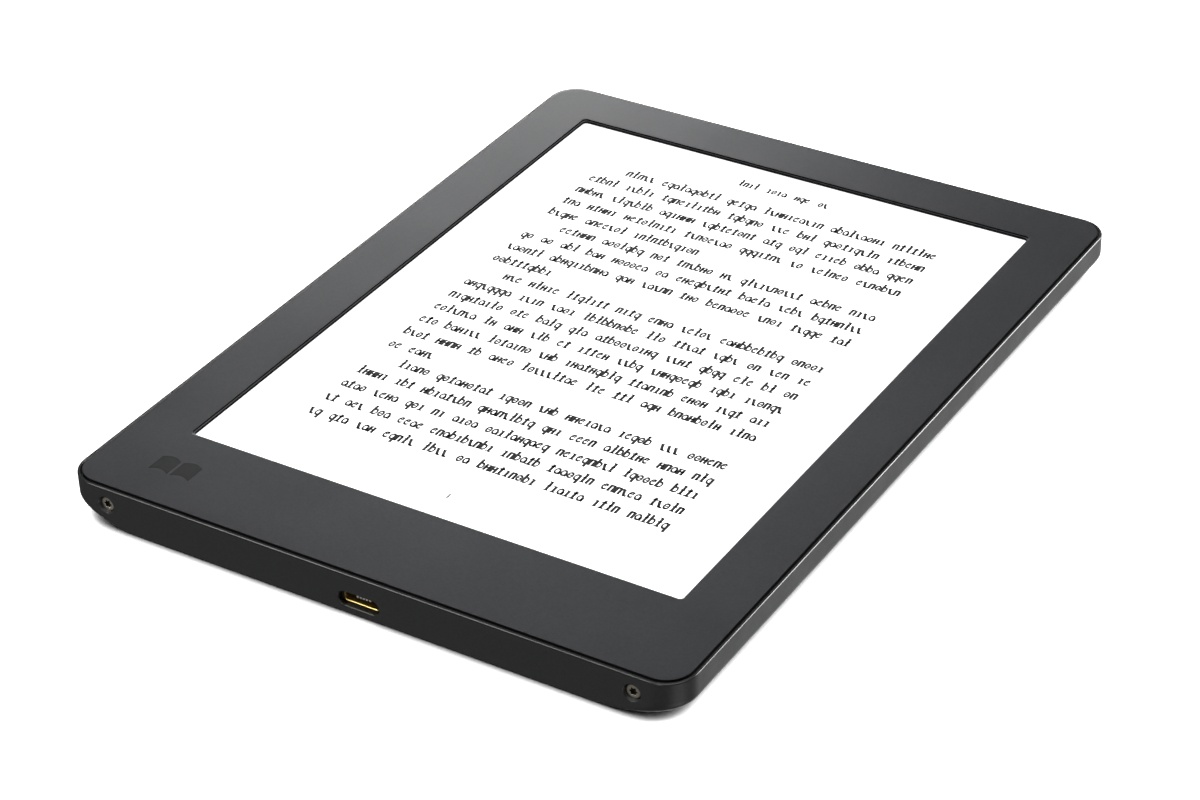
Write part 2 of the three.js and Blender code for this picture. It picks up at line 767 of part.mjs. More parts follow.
const BUTTON_BOARD = { left: -54, right: -32, near: 43, far: 70 };
const BUTTON_BOARD_PADS = [
  [-51, 67],
  [-35, 67],
];
const FLANGE_LOW = FLOOR + 0.1;
const FLANGE_HIGH = FLANGE_LOW + 0.5;
const SWITCH_LOW = 2.9;
const PLUNGER_TIP = SWITCH_LOW - 0.35;

function powerButton() {
  const radius = BUTTON_RADIUS;
  const profile = [
    [0, BUTTON_FACE + 0.12],
    [radius - 1.2, BUTTON_FACE + 0.04],
    [radius - 0.35, BUTTON_FACE],
    [radius, BUTTON_FACE + 0.3],
    [radius, FLANGE_LOW],
    [radius + 1.1, FLANGE_LOW],
    [radius + 1.1, FLANGE_HIGH],
    [1.4, FLANGE_HIGH],
    [1.4, PLUNGER_TIP - GAP],
    [0, PLUNGER_TIP - GAP],
  ].map(([x, y]) => new THREE.Vector2(x, y));
  return new THREE.LatheGeometry(profile, 32).rotateX(Math.PI / 2).translate(BUTTON_X, BUTTON_Y, 0);
}

function buttonBoot() {
  return cut(
    solid(upright(BUTTON_X, BUTTON_Y, BUTTON_RADIUS + 0.9, FLANGE_HIGH + GAP, PARTS_HIGH, 28)),
    upright(BUTTON_X, BUTTON_Y, BUTTON_RADIUS - 0.7, 0, 5, 28),
  );
}

function powerSwitch() {
  return cut(
    solid(chip(BUTTON_X, BUTTON_Y, 3.6, 3.6, SWITCH_LOW, PARTS_HIGH, 0.4)),
    upright(BUTTON_X, BUTTON_Y, 0.95, SWITCH_LOW - 1, PARTS_HIGH - 0.05, 16),
  );
}

function buttonBoard() {
  const { left, right, near, far } = BUTTON_BOARD;
  const outline = roundedOutline(left, right, near, far, 1.5, 3);
  return prism(outline, BOARD_LOW, BOARD_HIGH);
}

function lightPipe() {
  return join(
    upright(BUTTON_X, LIGHT_Y, 0.8, 0.1, 3.2, 12),
    upright(BUTTON_X, LIGHT_Y, 1.4, FLOOR + GAP, FLOOR + 0.4, 12),
  );
}

// ---------------------------------------------------------------- the assembly

place("rear_shell", rearShell(), FINISHES.shell);
place("front_bezel", frontBezel(), FINISHES.bezel);
place("end_screw_left", endScrew(-1), FINISHES.steel);
place("end_screw_right", endScrew(1), FINISHES.steel);

place("bezel_gasket", bezelGasket(), FINISHES.foam);
place(
  "cover_film",
  sheet(STACK_HALF_WIDTH, STACK_LOW, STACK_HIGH, COVER_LOW, SCREEN_TOP),
  FINISHES.clear,
);
place(
  "touch_sensor",
  sheet(STACK_HALF_WIDTH, STACK_LOW, STACK_HIGH, TOUCH_LOW, TOUCH_HIGH),
  FINISHES.clear,
);
place("light_guide", sheet(55.6, GUIDE_NEAR, 78, GUIDE_LOW, GUIDE_HIGH), FINISHES.clear);
place("led_strip", ledStrip(), FINISHES.flex);
place("eink_film", sheet(54.6, -67, 76.5, INK_LOW, INK_HIGH), FINISHES.page);
place("eink_glass", sheet(56, -75, 78.4, GLASS_LOW, GLASS_HIGH), FINISHES.glass);
place("display_driver_chip", box(-39, -15, -70.4, -68.6, GLASS_HIGH + GAP, GLASS_HIGH + 0.33), FINISHES.silicon);

place("display_flex", foldedFlex(DISPLAY_FLEX, -71.6, GLASS_HIGH + 0.13, -77.2), FINISHES.flex);
place("touch_flex", foldedFlex(TOUCH_FLEX, STACK_LOW - GAP, TOUCH_LOW + 0.15, -77.6), FINISHES.flex);
place("light_flex", foldedFlex(LIGHT_FLEX, STACK_LOW + 0.35, GUIDE_HIGH - 0.05, -77.3), FINISHES.flex);
for (const [name, span] of [
  ["display_connector", DISPLAY_FLEX],
  ["touch_connector", TOUCH_FLEX],
  ["light_connector", LIGHT_FLEX],
]) {
  place(name, flexSocket(span, SOCKET_NEAR, SOCKET_NEAR + 4, -1), FINISHES.connector);
}

place("mid_frame", midFrame(), FINISHES.magnesium);
FRAME_SCREWS.forEach((at, k) => place(`frame_screw_${k + 1}`, frameScrew(at), FINISHES.zinc));

place("main_board", mainBoard(), FINISHES.board);
BOARD_SCREWS.forEach((at, k) => place(`board_screw_${k + 1}`, boardScrew(at), FINISHES.zinc));
place("shield_can", shieldCan(-8, -55, 34, 22, 2.1), FINISHES.tin);
place("processor", chip(-14, -55, 14, 14, 2.75, PARTS_HIGH), FINISHES.silicon);
place("memory_chip", chip(1, -55, 9, 11, 2.95, PARTS_HIGH), FINISHES.silicon);
place("power_chip", chip(19, -60, 7, 7, 3, PARTS_HIGH), FINISHES.silicon);
place("power_inductor", chip(19, -50.5, 5, 5, 2.5, PARTS_HIGH, 0.9), FINISHES.silicon);
place("wifi_module", wifiModule(), FINISHES.tin);
place("card_socket", cardSocket(), FINISHES.tin);
place("memory_card", memoryCard(), FINISHES.silicon);
place("clock_crystal", chip(19, -42.5, 3.2, 2.5, 3.1, PARTS_HIGH, 0.4), FINISHES.tin);
place("hall_sensor", chip(46, -66, 1.6, 2.9, 3, PARTS_HIGH), FINISHES.silicon);

place("wifi_antenna", box(10, 46, 79, 82.5, FRAME_LOW - 0.3, FRAME_LOW - GAP), FINISHES.flex);
place(
  "antenna_cable",
  wire(
    [
      [43.2, -51, 3],
      [45.5, -50.6, 2.9],
      [50.2, -46, 2.9],
      [53.4, -36, 3.2],
      [53.6, -8, 3.4],
      [53.6, 24, 3.4],
      [53.6, 56, 3.4],
      [52.8, 73, 3.5],
      [49.5, 79.5, 3.9],
      [46.3, 80.8, 4.1],
    ],
    0.5,
    34,
  ),
  FINISHES.wireBlack,
);

place("usb_port_shell", portShell(), FINISHES.gold);
place("usb_port_tongue", portTongue(), FINISHES.rubber);
place("usb_gasket", portGasket(), FINISHES.rubber);

place("battery_cell", batteryCell(), FINISHES.pouch);
place(
  "battery_circuit",
  chip(15, BATTERY.near - 2.2, 40, 3.6, 2.2, 4.3, 0.3),
  FINISHES.tape,
);
place(
  "battery_tape",
  sheet(30, -20, 52, BATTERY.high + GAP, FRAME_LOW - GAP).translate(15, 0, 0),
  FINISHES.tape,
);
for (const [name, x, material] of [
  ["battery_wire_red", 9, FINISHES.wireRed],
  ["battery_wire_black", 12, FINISHES.wireBlack],
]) {
  const line = [
    [x, BATTERY.near - 4.1, 3.1],
    [x, BATTERY.near - 6, 3.1],
    [x - 1.5, BATTERY.near - 8.5, 2.9],
    [x - 1.5, BATTERY.near - 10.6, 2.9],
  ];
  place(name, wire(line, 0.45, 10), material);
}
place("battery_plug", chip(9, -39.6, 7, 3.6, 2.2, 3.5, 0.3), FINISHES.connector);
place(
  "battery_socket",
  cut(solid(chip(9, -40.6, 9, 6, 2.4, PARTS_HIGH, 0.3)), box(5.3, 12.7, -41.6, -37, 1, 3.6)),
  FINISHES.connector,
);

place("power_button", powerButton(), FINISHES.button);
place("button_boot", buttonBoot(), FINISHES.boot);
place("power_switch", powerSwitch(), FINISHES.tin);
place("switch_plunger", upright(BUTTON_X, BUTTON_Y, 0.85, PLUNGER_TIP, SWITCH_LOW + 0.35, 16), FINISHES.silicon);
place("button_board", buttonBoard(), FINISHES.board);
place("button_connector", flexSocket(BUTTON_FLEX, 43.4, 47.4, -1), FINISHES.connector);
place("button_socket", flexSocket(BUTTON_FLEX, -41, -37, 1), FINISHES.connector);
place(
  "button_flex",
  box(BUTTON_FLEX.low, BUTTON_FLEX.high, -38.9, 45.2, FLEX_LEVEL - 0.06, FLEX_LEVEL + 0.06),
  FINISHES.flex,
);
place("status_light_pipe", lightPipe(), FINISHES.clear);
place("status_led", chip(BUTTON_X, LIGHT_Y, 1, 1.6, 3.3, PARTS_HIGH, 0.1), FINISHES.page);

export default reader;
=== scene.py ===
"""The looks of the e-reader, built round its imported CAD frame.
Lengths are in metres, and MM turns millimetres into them."""

import json
import math
import random

import bmesh
import bpy
from mathutils import Matrix, Vector


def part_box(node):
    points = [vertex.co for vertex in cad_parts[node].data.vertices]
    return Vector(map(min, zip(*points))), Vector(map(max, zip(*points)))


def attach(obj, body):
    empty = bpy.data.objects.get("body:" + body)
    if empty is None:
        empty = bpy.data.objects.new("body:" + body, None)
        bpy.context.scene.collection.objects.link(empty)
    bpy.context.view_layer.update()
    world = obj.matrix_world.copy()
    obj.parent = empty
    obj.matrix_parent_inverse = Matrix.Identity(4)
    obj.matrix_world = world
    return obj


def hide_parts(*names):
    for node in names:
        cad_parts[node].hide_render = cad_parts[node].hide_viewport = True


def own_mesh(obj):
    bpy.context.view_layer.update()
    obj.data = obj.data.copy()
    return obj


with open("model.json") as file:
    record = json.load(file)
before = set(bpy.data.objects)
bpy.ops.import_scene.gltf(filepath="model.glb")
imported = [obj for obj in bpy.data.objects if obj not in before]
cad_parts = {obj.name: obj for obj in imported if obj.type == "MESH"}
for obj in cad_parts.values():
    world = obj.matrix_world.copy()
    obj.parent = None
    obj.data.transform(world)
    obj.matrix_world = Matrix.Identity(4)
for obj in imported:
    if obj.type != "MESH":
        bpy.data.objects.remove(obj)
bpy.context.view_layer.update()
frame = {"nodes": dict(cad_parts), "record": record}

MM = 0.001
READER = "reader"
HALF_WIDTH, HALF_LENGTH, RIM_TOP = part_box("rear_shell")[1]
MARK_HEIGHT = 0.012 * MM
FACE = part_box("front_bezel")[1].z - MARK_HEIGHT
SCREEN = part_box("cover_film")[1].z
SHARP_ANGLE = math.radians(34)
WELD = 0.0005 * MM
HAIR = 0.001 * MM


# ---- outlines, skins and solids


def rounded_outline(left, right, near, far, radius, steps=18, lead=0.25 * MM):
    """An anticlockwise rounded rectangle. A point on each side of every corner keeps the
    straight runs' shading flat."""
    points = []
    for x, y, start in (
        (right - radius, near + radius, -90),
        (right - radius, far - radius, 0),
        (left + radius, far - radius, 90),
        (left + radius, near + radius, 180),
    ):
        first, last = math.radians(start), math.radians(start + 90)
        corner = [
            (x + radius * math.cos(a), y + radius * math.sin(a))
            for a in (first + (last - first) * k / steps for k in range(steps + 1))
        ]
        (x0, y0), (x1, y1) = corner[0], corner[-1]
        points.append((x0 + lead * math.sin(first), y0 - lead * math.cos(first)))
        points += corner
        points.append((x1 - lead * math.sin(last), y1 + lead * math.cos(last)))
    return points


def at_height(outline, z):
    return [Vector((x, y, z)) for x, y in outline]


def stack(outline, *levels):
    """Rings of one outline, each level given as (inset, height)."""
    return [at_height(outline(inset), z) for inset, z in levels]


def circle(radius, z, sides=48, lobing=0):
    """A ring round the axis. Lobing swells it six times on its way round, into a star."""
    turns = [2 * math.pi * k / sides for k in range(sides)]
    reach = [radius * (1 + lobing * math.cos(6 * a)) for a in turns]
    return [Vector((r * math.cos(a), r * math.sin(a), z)) for r, a in zip(reach, turns)]


def quarter_round(radius, steps):
    """Steps over a rounded edge, as (distance in from the side, distance in from the face)."""
    turns = [math.pi / 2 * k / steps for k in range(steps + 1)]
    return [(radius * (1 - math.sin(a)), radius * (1 - math.cos(a))) for a in turns]


def skin(name, rings, place=Matrix.Identity(4), loop=False):
    """A closed mesh through rings of equally many points: capped at both ends, or with its
    last ring joined to its first."""
    count = len(rings[0])
    faces = []
    for ring in range(len(rings) - (not loop)):
        low, high = ring * count, (ring + 1) % len(rings) * count
        for k in range(count):
            after = (k + 1) % count
            faces.append((low + k, low + after, high + after, high + k))
    if not loop:
        last = (len(rings) - 1) * count
        faces.append(tuple(reversed(range(count))))
        faces.append(tuple(range(last, last + count)))
    mesh = bpy.data.meshes.new(name)
    mesh.from_pydata([place @ point for ring in rings for point in ring], [], faces)
    return shown(name, mesh)


def turned(name, profile, place, sides=48):
    """A solid of revolution. Its profile of (radius, height) starts and ends on the axis."""
    rings = [circle(radius, z, sides) for radius, z in profile[1:-1]]
    mesh = bmesh.new()
    rows = [[mesh.verts.new(place @ point) for point in ring] for ring in rings]
    ends = [mesh.verts.new(place @ Vector((0, 0, profile[k][1]))) for k in (0, -1)]
    for k in range(sides):
        after = (k + 1) % sides
        mesh.faces.new((ends[0], rows[0][after], rows[0][k]))
        mesh.faces.new((ends[1], rows[-1][k], rows[-1][after]))
        for low, high in zip(rows, rows[1:]):
            mesh.faces.new((low[k], low[after], high[after], high[k]))
    data = bpy.data.meshes.new(name)
    mesh.to_mesh(data)
    mesh.free()
    return shown(name, data)


def shown(name, data):
    piece = bpy.data.objects.new(name, data)
    bpy.context.scene.collection.objects.link(piece)
    return piece


def block(low, high):
    """A plain cutter between two corners."""
    corners = [(low[0], low[1]), (high[0], low[1]), (high[0], high[1]), (low[0], high[1])]
    return skin("block", [at_height(corners, low[2]), at_height(corners, high[2])])


def settled(piece):
    """Turns what a piece's modifiers make into its own plain mesh."""
    evaluated = piece.evaluated_get(bpy.context.evaluated_depsgraph_get())
    mesh = bpy.data.meshes.new_from_object(evaluated)
    piece.modifiers.clear()
    piece.data = mesh
    return piece


def combine(piece, tool, operation):
    joining = piece.modifiers.new("joining", "BOOLEAN")
    joining.operation = operation
    joining.object = tool
    joining.solver = "EXACT"
    bpy.context.view_layer.update()
    settled(piece)
    bpy.data.objects.remove(tool)
    return piece


def cut(piece, *tools):
    for tool in tools:
        combine(piece, tool, "DIFFERENCE")
    return piece


def copy_of(node):
    """A merged copy of a CAD node's mesh, free to be cut."""
    work = bmesh.new()
    work.from_mesh(frame["nodes"][node].data)
    bmesh.ops.remove_doubles(work, verts=work.verts, dist=WELD)
    mesh = bpy.data.meshes.new(node + "_copy")
    work.to_mesh(mesh)
    work.free()
    return shown(node + "_copy", mesh)


def finished(piece, body, material, replaces=()):
    """Shades a piece, gives it its material and sets it on its body."""
    mesh = piece.data
    mesh.materials.clear()
    mesh.materials.append(material)
    for face in mesh.polygons:
        face.material_index = 0
    mesh.shade_smooth()
    mesh.set_sharp_from_angle(angle=SHARP_ANGLE)
    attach(piece, body)
    if replaces:
        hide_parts(*replaces)


def even_shading(piece):
    even = piece.modifiers.new("even_shading", "WEIGHTED_NORMAL")
    even.keep_sharp = True


def along(direction, place):
    """A matrix that stands a piece made along +Z along another direction, at a place."""
    turn = Vector((0, 0, 1)).rotation_difference(Vector(direction)).to_matrix().to_4x4()
    return Matrix.Translation(place) @ turn


def spaced(settings):
    """Settings whose names have their spaces back."""
    return {label.replace("_", " "): value for label, value in settings.items()}


def middle(node):
    low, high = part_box(node)
    return (low + high) / 2


# ---- finishes


class Wiring:
    """Makes nodes and links them in one go, in a material's tree or a geometry tree."""

    def node(self, kind, inputs=(), **settings):
        """A node with its settings, and its inputs set to values or linked to sockets."""
        made = self.tree.nodes.new(kind)
        for label, value in settings.items():
            setattr(made, label, value)
        for label, value in dict(inputs).items():
            for source in value if isinstance(value, list) else [value]:
                if isinstance(source, bpy.types.NodeSocket):
                    self.tree.links.new(source, made.inputs[label])
                else:
                    made.inputs[label].default_value = source
        return made

    def joined(self, first, second, operation="MULTIPLY"):
        return self.node("ShaderNodeMath", {0: first, 1: second}, operation=operation).outputs[0]


class Finish(Wiring):
    """A material being made: its shader, and short ways to wire patterns into it.
    Patterns read Object coordinates."""

    def __init__(self, name, **uniform):
        self.material = bpy.data.materials.new(name)
        self.material.use_nodes = True
        self.tree = self.material.node_tree
        self.shader = self.tree.nodes["Principled BSDF"]
        for label, value in spaced(uniform).items():
            self.shader.inputs[label].default_value = value

    def feed(self, label, source):
        """Links a pattern to one of the shader's own inputs."""
        self.tree.links.new(source, self.shader.inputs[label])

    def place(self, stretch=(1, 1, 1)):
        inputs = {"Vector": self.node("ShaderNodeTexCoord").outputs["Object"], "Scale": stretch}
        return self.node("ShaderNodeMapping", inputs).outputs["Vector"]

    def noise(self, scale, detail, stretch=(1, 1, 1)):
        inputs = {"Vector": self.place(stretch), "Scale": scale, "Detail": detail}
        return self.node("ShaderNodeTexNoise", {**inputs, "Roughness": 0.55}).outputs["Fac"]

    def cells(self, scale, feature="F1", randomness=1.0):
        inputs = {"Vector": self.place(), "Scale": scale, "Randomness": randomness}
        return self.node("ShaderNodeTexVoronoi", inputs, feature=feature).outputs["Distance"]

    def bands(self, scale, direction, distortion=0.0):
        inputs = {"Vector": self.place(), "Scale": scale, "Distortion": distortion}
        return self.node("ShaderNodeTexWave", inputs, bands_direction=direction).outputs["Fac"]

    def ranged(self, value, low, high, start=0.0, end=1.0):
        """Goes from low to high as a value goes from start to end."""
        limits = {"From Min": start, "From Max": end, "To Min": low, "To Max": high}
        return self.node("ShaderNodeMapRange", {"Value": value, **limits}).outputs["Result"]

    def mixed(self, factor, *ends):
        """A colour between two, each a colour or a colour socket."""
        first, second = ((*end, 1) if isinstance(end, tuple) else end for end in ends)
        inputs = {"Factor": factor, 6: first, 7: second}
        return self.node("ShaderNodeMix", inputs, data_type="RGBA").outputs[2]

    def tones(self, source, first, second, start=0.3, end=0.7):
        """Base colour from the first to the second as a pattern goes from start to end."""
        self.feed("Base Color", self.mixed(self.ranged(source, 0, 1, start, end), first, second))

    def gloss(self, source, low, high, start=0.3, end=0.7):
        """Roughness from low to high as a pattern goes from start to end."""
        self.feed("Roughness", self.ranged(source, low, high, start, end))

    def relief(self, height, depth):
        """Bump from a height of 0 to 1 that stands for a depth in metres. Returns the material."""
        inputs = {"Height": height, "Strength": 1.0, "Distance": depth}
        self.feed("Normal", self.node("ShaderNodeBump", inputs).outputs["Normal"])
        return self.material


def layered(name, deep, pale, gloss, depth, tone, sheen=None, tooth=None, span=(), **uniform):
    """A finish from textures, each given as its kind and settings. The first sets the colour,
    over its own span, and the roughness and the relief too where they have none of their own."""
    finish = Finish(name, **uniform)

    def texture(kind, *settings):
        return getattr(finish, kind)(*settings)

    first = texture(*tone)
    finish.tones(first, deep, pale, *span)
    finish.gloss(texture(*sheen) if sheen else first, *gloss)
    return finish.relief(texture(*tooth) if tooth else first, depth)


def moulded(name, deep, pale, gloss, grain=4200, depth=0.006 * MM, **uniform):
    """Moulded plastic: a fine spark-eroded grain, a faint mottle and roughness that wanders."""
    finish = Finish(name, **uniform)
    mottle, speck = finish.noise(160, 5), finish.noise(grain, 2)
    finish.tones(finish.joined(mottle, speck, "ADD"), deep, pale, 0.7, 1.3)
    finish.gloss(mottle, *gloss)
    return finish.relief(speck, depth)


def sheet_metal(name, deep, pale, gloss=(0.22, 0.4), stretch=(1, 22, 1), depth=0.002 * MM):
    """Rolled or plated metal, with fine lines one way and a faint cloud of handling marks."""
    lines, cloud = ("noise", 900, 5, stretch), ("noise", 260, 3)
    return layered(name, deep, pale, gloss, depth, cloud, lines, lines, Metallic=1.0)


def shell_plastic():
    """The housing's charcoal plastic: fine grain, with the rim burnished by handling."""
    finish = Finish("shell_plastic")
    speck = finish.noise(4200, 2)
    split = finish.node("ShaderNodeSeparateXYZ", {0: finish.place()})
    burnish = finish.ranged(split.outputs["Z"], 1.0, 0.5, 8.1 * MM, 8.4 * MM)
    finish.tones(speck, (0.014, 0.0148, 0.0145), (0.026, 0.027, 0.0265))
    matt = finish.ranged(finish.noise(160, 5), 0.42, 0.5, 0.3, 0.7)
    finish.feed("Roughness", finish.joined(matt, burnish))
    return finish.relief(speck, 0.005 * MM)


def printed(name, deep, pale, scale=2600):
    """Ink with a slightly uneven laydown."""
    patch, span = ("noise", scale, 4), (0.35, 0.65)
    gloss, shine = (0.5, 0.68), {"Specular_IOR_Level": 0.25}
    return layered(name, deep, pale, gloss, 0.001 * MM, patch, span=span, **shine)


def solder_mask():
    """A circuit board: green mask over copper runs, with tinned pads showing here and there."""
    finish = Finish("solder_mask", Coat_Weight=0.35, Coat_Roughness=0.12)
    runs = finish.joined(finish.bands(520, "X", 1.4), finish.bands(460, "Y", 1.1))
    copper = finish.ranged(runs, 0, 1, 0.42, 0.5)
    pads = finish.ranged(finish.cells(420, randomness=0.35), 1, 0, 0.2, 0.23)
    green = finish.mixed(copper, (0.008, 0.05, 0.022), (0.02, 0.12, 0.05))
    finish.feed("Base Color", finish.mixed(pads, green, (0.62, 0.62, 0.58)))
    finish.gloss(pads, 0.4, 0.26, 0, 1)
    return finish.relief(finish.joined(copper, pads, "MAXIMUM"), 0.02 * MM)


def flexible_circuit():
    """Amber polyimide with copper runs along its length."""
    finish = Finish("flexible_circuit", Coat_Weight=0.4, Coat_Roughness=0.2)
    runs = finish.ranged(finish.bands(640, "X"), 0, 1, 0.45, 0.6)
    mottle = finish.noise(700, 4)
    amber = finish.mixed(mottle, (0.34, 0.12, 0.02), (0.46, 0.19, 0.035))
    finish.feed("Base Color", finish.mixed(runs, amber, (0.62, 0.3, 0.09)))
    finish.gloss(mottle, 0.3, 0.45, 0, 1)
    return finish.relief(runs, 0.012 * MM)


def foil_pouch():
    """The battery's laminated foil: soft silver with pressed creases."""
    finish = Finish("foil_pouch", Metallic=0.85)
    crease = finish.cells(130, "DISTANCE_TO_EDGE")
    crinkle = finish.noise(240, 6)
    finish.tones(crinkle, (0.5, 0.51, 0.53), (0.66, 0.67, 0.69))
    finish.gloss(crinkle, 0.25, 0.45)
    pressed = finish.joined(finish.ranged(crease, 0, 0.4, 0, 0.12), crinkle, "ADD")
    return finish.relief(pressed, 0.06 * MM)


def soft_rubber(name, deep, pale):
    """Silicone with a dusty bloom."""
    bloom, tooth = ("noise", 420, 5), ("noise", 3600, 2)
    dust = {"Sheen_Weight": 0.15, "Sheen_Roughness": 0.4}
    return layered(name, deep, pale, (0.6, 0.8), 0.004 * MM, bloom, tooth=tooth, **dust)


def clear_sheet(name, tint, gloss):
    """A clear sheet: acrylic or thin glass, with the faintest haze."""
    haze, clear = ("noise", 240, 3), {"Transmission_Weight": 1.0, "IOR": 1.49}
    return layered(name, tint, (0.97, 0.98, 0.98), gloss, 0.001 * MM, haze, **clear)


def panel_glass():
    """The panel's back glass, with its grid of transistors."""
    finish = Finish("panel_glass", Coat_Weight=0.8, Coat_Roughness=0.05)
    rows, columns = finish.bands(1500, "Y"), finish.bands(1500, "X")
    grid = finish.ranged(finish.joined(rows, columns), 0, 1, 0.3, 0.8)
    finish.tones(grid, (0.03, 0.036, 0.042), (0.1, 0.12, 0.13), 0, 1)
    finish.gloss(grid, 0.2, 0.34, 0, 1)
    return finish.relief(grid, 0.002 * MM)


def insulated_wire(name, deep, pale):
    """Wire insulation with a drawn sheen."""
    drawn = ("noise", 1200, 4, (4, 0.5, 4))
    coat = {"Coat_Weight": 0.2, "Coat_Roughness": 0.3}
    return layered(name, deep, pale, (0.38, 0.55), 0.01 * MM, drawn, **coat)


SHELL = shell_plastic()
# A soft satin coat with a very fine even tooth.
BEZEL = layered(
    "bezel_coating", (0.014, 0.0148, 0.017), (0.027, 0.028, 0.031), (0.29, 0.33), 0.006 * MM,
    ("noise", 2900, 3), sheen=("noise", 55, 4), Specular_IOR_Level=0.5,
)
# Paler than the coat: a painted highlight for the light the fine step catches.
BEZEL_STEP_HIGHLIGHT = moulded("bezel_step_highlight", (0.05, 0.051, 0.054), (0.085, 0.086, 0.09), (0.4, 0.5))
# Near-black with almost no shine: painted shade on the bezel's walls that also hides their
# highlights.
BEZEL_WALL_SHADE = moulded(
    "bezel_wall_shade", (0.003, 0.003, 0.003), (0.006, 0.006, 0.0065), (0.8, 0.95),
    Specular_IOR_Level=0.02,
)
# Paper white under an anti-glare film: a faint fibre and a fine tooth. Its glow stands for the
# reading light
# but is painted light: it lifts the page to white and washes out the shade the bezel casts on it.
PAGE = layered(
    "page_white", (0.9, 0.9, 0.885), (0.94, 0.94, 0.93), (0.5, 0.62), 0.001 * MM,
    ("noise", 900, 6, (1, 1.6, 1)), tooth=("noise", 7000, 1),
    Specular_IOR_Level=0.3, Emission_Color=(1, 1, 1, 1), Emission_Strength=0.7,
)
PAGE_INK = printed("page_ink", (0.003, 0.003, 0.0035), (0.009, 0.009, 0.01))
MARK_INK = printed("mark_ink", (0.004, 0.0042, 0.0045), (0.007, 0.0073, 0.0078), 900)
SCREW_STEEL = sheet_metal("screw_steel", (0.46, 0.42, 0.34), (0.64, 0.59, 0.49), (0.3, 0.46))
# Dark oxide in the screws' star sockets, made near-black as painted shade so the recess reads dark.
SOCKET_OXIDE_SHADE = moulded(
    "socket_oxide_shade", (0.004, 0.004, 0.004), (0.012, 0.011, 0.01), (0.5, 0.7), Metallic=0.6
)
SLOT_EDGE = moulded("slot_edge", (0.016, 0.0168, 0.0165), (0.03, 0.031, 0.0305), (0.18, 0.24))
# Near-white and not metal: a painted highlight standing in for the glint on the contacts' tips.
CONTACT_TIP_GLINT = moulded(
    "contact_tip_glint", (0.8, 0.8, 0.78), (0.95, 0.95, 0.93), (0.25, 0.4), depth=0.001 * MM
)
ZINC = sheet_metal("zinc_plating", (0.5, 0.51, 0.52), (0.68, 0.69, 0.7))
GOLD = sheet_metal(
    "gold_flash", (0.72, 0.53, 0.14), (0.92, 0.74, 0.29), (0.26, 0.36), depth=0.0006 * MM
)
BUTTON_BLUE = moulded(
    "button_blue", (0.01, 0.13, 0.27), (0.016, 0.19, 0.36), (0.36, 0.48), Coat_Weight=0.15
)
TONGUE = moulded("tongue_plastic", (0.006, 0.006, 0.006), (0.014, 0.014, 0.014), (0.35, 0.5))
# Black closed-cell foam, which the adhesive film shares.
FOAM = layered(
    "foam", (0.004, 0.004, 0.004), (0.016, 0.016, 0.017), (0.95, 0.8, 0, 0.3), 0.03 * MM,
    ("cells", 2400, "DISTANCE_TO_EDGE"), span=(0, 0.3),
)
# A chip's black moulding compound, with its filler's sparkle.
CHIP = layered(
    "chip_epoxy", (0.04, 0.04, 0.042), (0.012, 0.012, 0.013), (0.42, 0.6), 0.004 * MM,
    ("cells", 5200), sheen=("noise", 900, 3), span=(0, 0.35),
)
# A die casting: matt, faintly blotched where the metal flowed, with a fine blasted tooth.
CASTING = layered(
    "cast_alloy", (0.4, 0.41, 0.42), (0.58, 0.59, 0.6), (0.38, 0.58), 0.012 * MM,
    ("noise", 70, 6, (1, 2.4, 1)), tooth=("cells", 2600), Metallic=1.0,
)
FINISH_OF_SLOT = {
    "shell": SHELL,
    "bezel": BEZEL,
    "page": PAGE,
    "button": BUTTON_BLUE,
    "port_gold": GOLD,
    "end_screw": SCREW_STEEL,
    "inner_screw": ZINC,
    "foam": FOAM,
    "tape": FOAM,
    "clear_film": clear_sheet("clear_film", (0.93, 0.95, 0.95), (0.08, 0.16)),
    "clear_glass": clear_sheet("clear_glass", (0.9, 0.95, 0.94), (0.02, 0.05)),
    "light_pipe": clear_sheet("light_pipe", (0.9, 0.92, 0.92), (0.15, 0.3)),
    "panel_glass": panel_glass(),
    "silicon": CHIP,
    "flex": flexible_circuit(),
    "connector": moulded(
        "connector_plastic", (0.62, 0.57, 0.47), (0.74, 0.7, 0.6), (0.4, 0.55), grain=2600
    ),
    "frame_metal": CASTING,
    "circuit_board": solder_mask(),
    "tinned_steel": sheet_metal(
        "tinned_sheet", (0.56, 0.57, 0.58), (0.72, 0.73, 0.73), stretch=(22, 1, 1)
    ),
    "rubber": soft_rubber("black_rubber", (0.006, 0.006, 0.006), (0.016, 0.016, 0.017)),
    "boot": soft_rubber("boot_silicone", (0.5, 0.52, 0.52), (0.64, 0.66, 0.66)),
    "pouch": foil_pouch(),
    "red_wire": insulated_wire("red_wire", (0.3, 0.01, 0.01), (0.45, 0.02, 0.02)),
    "black_wire": insulated_wire("black_wire", (0.006, 0.006, 0.006), (0.02, 0.02, 0.02)),
}
for part in frame["record"]["subparts"]:
    mesh = frame["nodes"][part["node"]].data
    mesh.materials.clear()
    mesh.materials.append(FINISH_OF_SLOT[part["material_slot"]])


# ---- geometry trees

FLOAT, WHOLE = "NodeSocketFloat", "NodeSocketInt"
STUFF, THING = "NodeSocketMaterial", "NodeSocketObject"


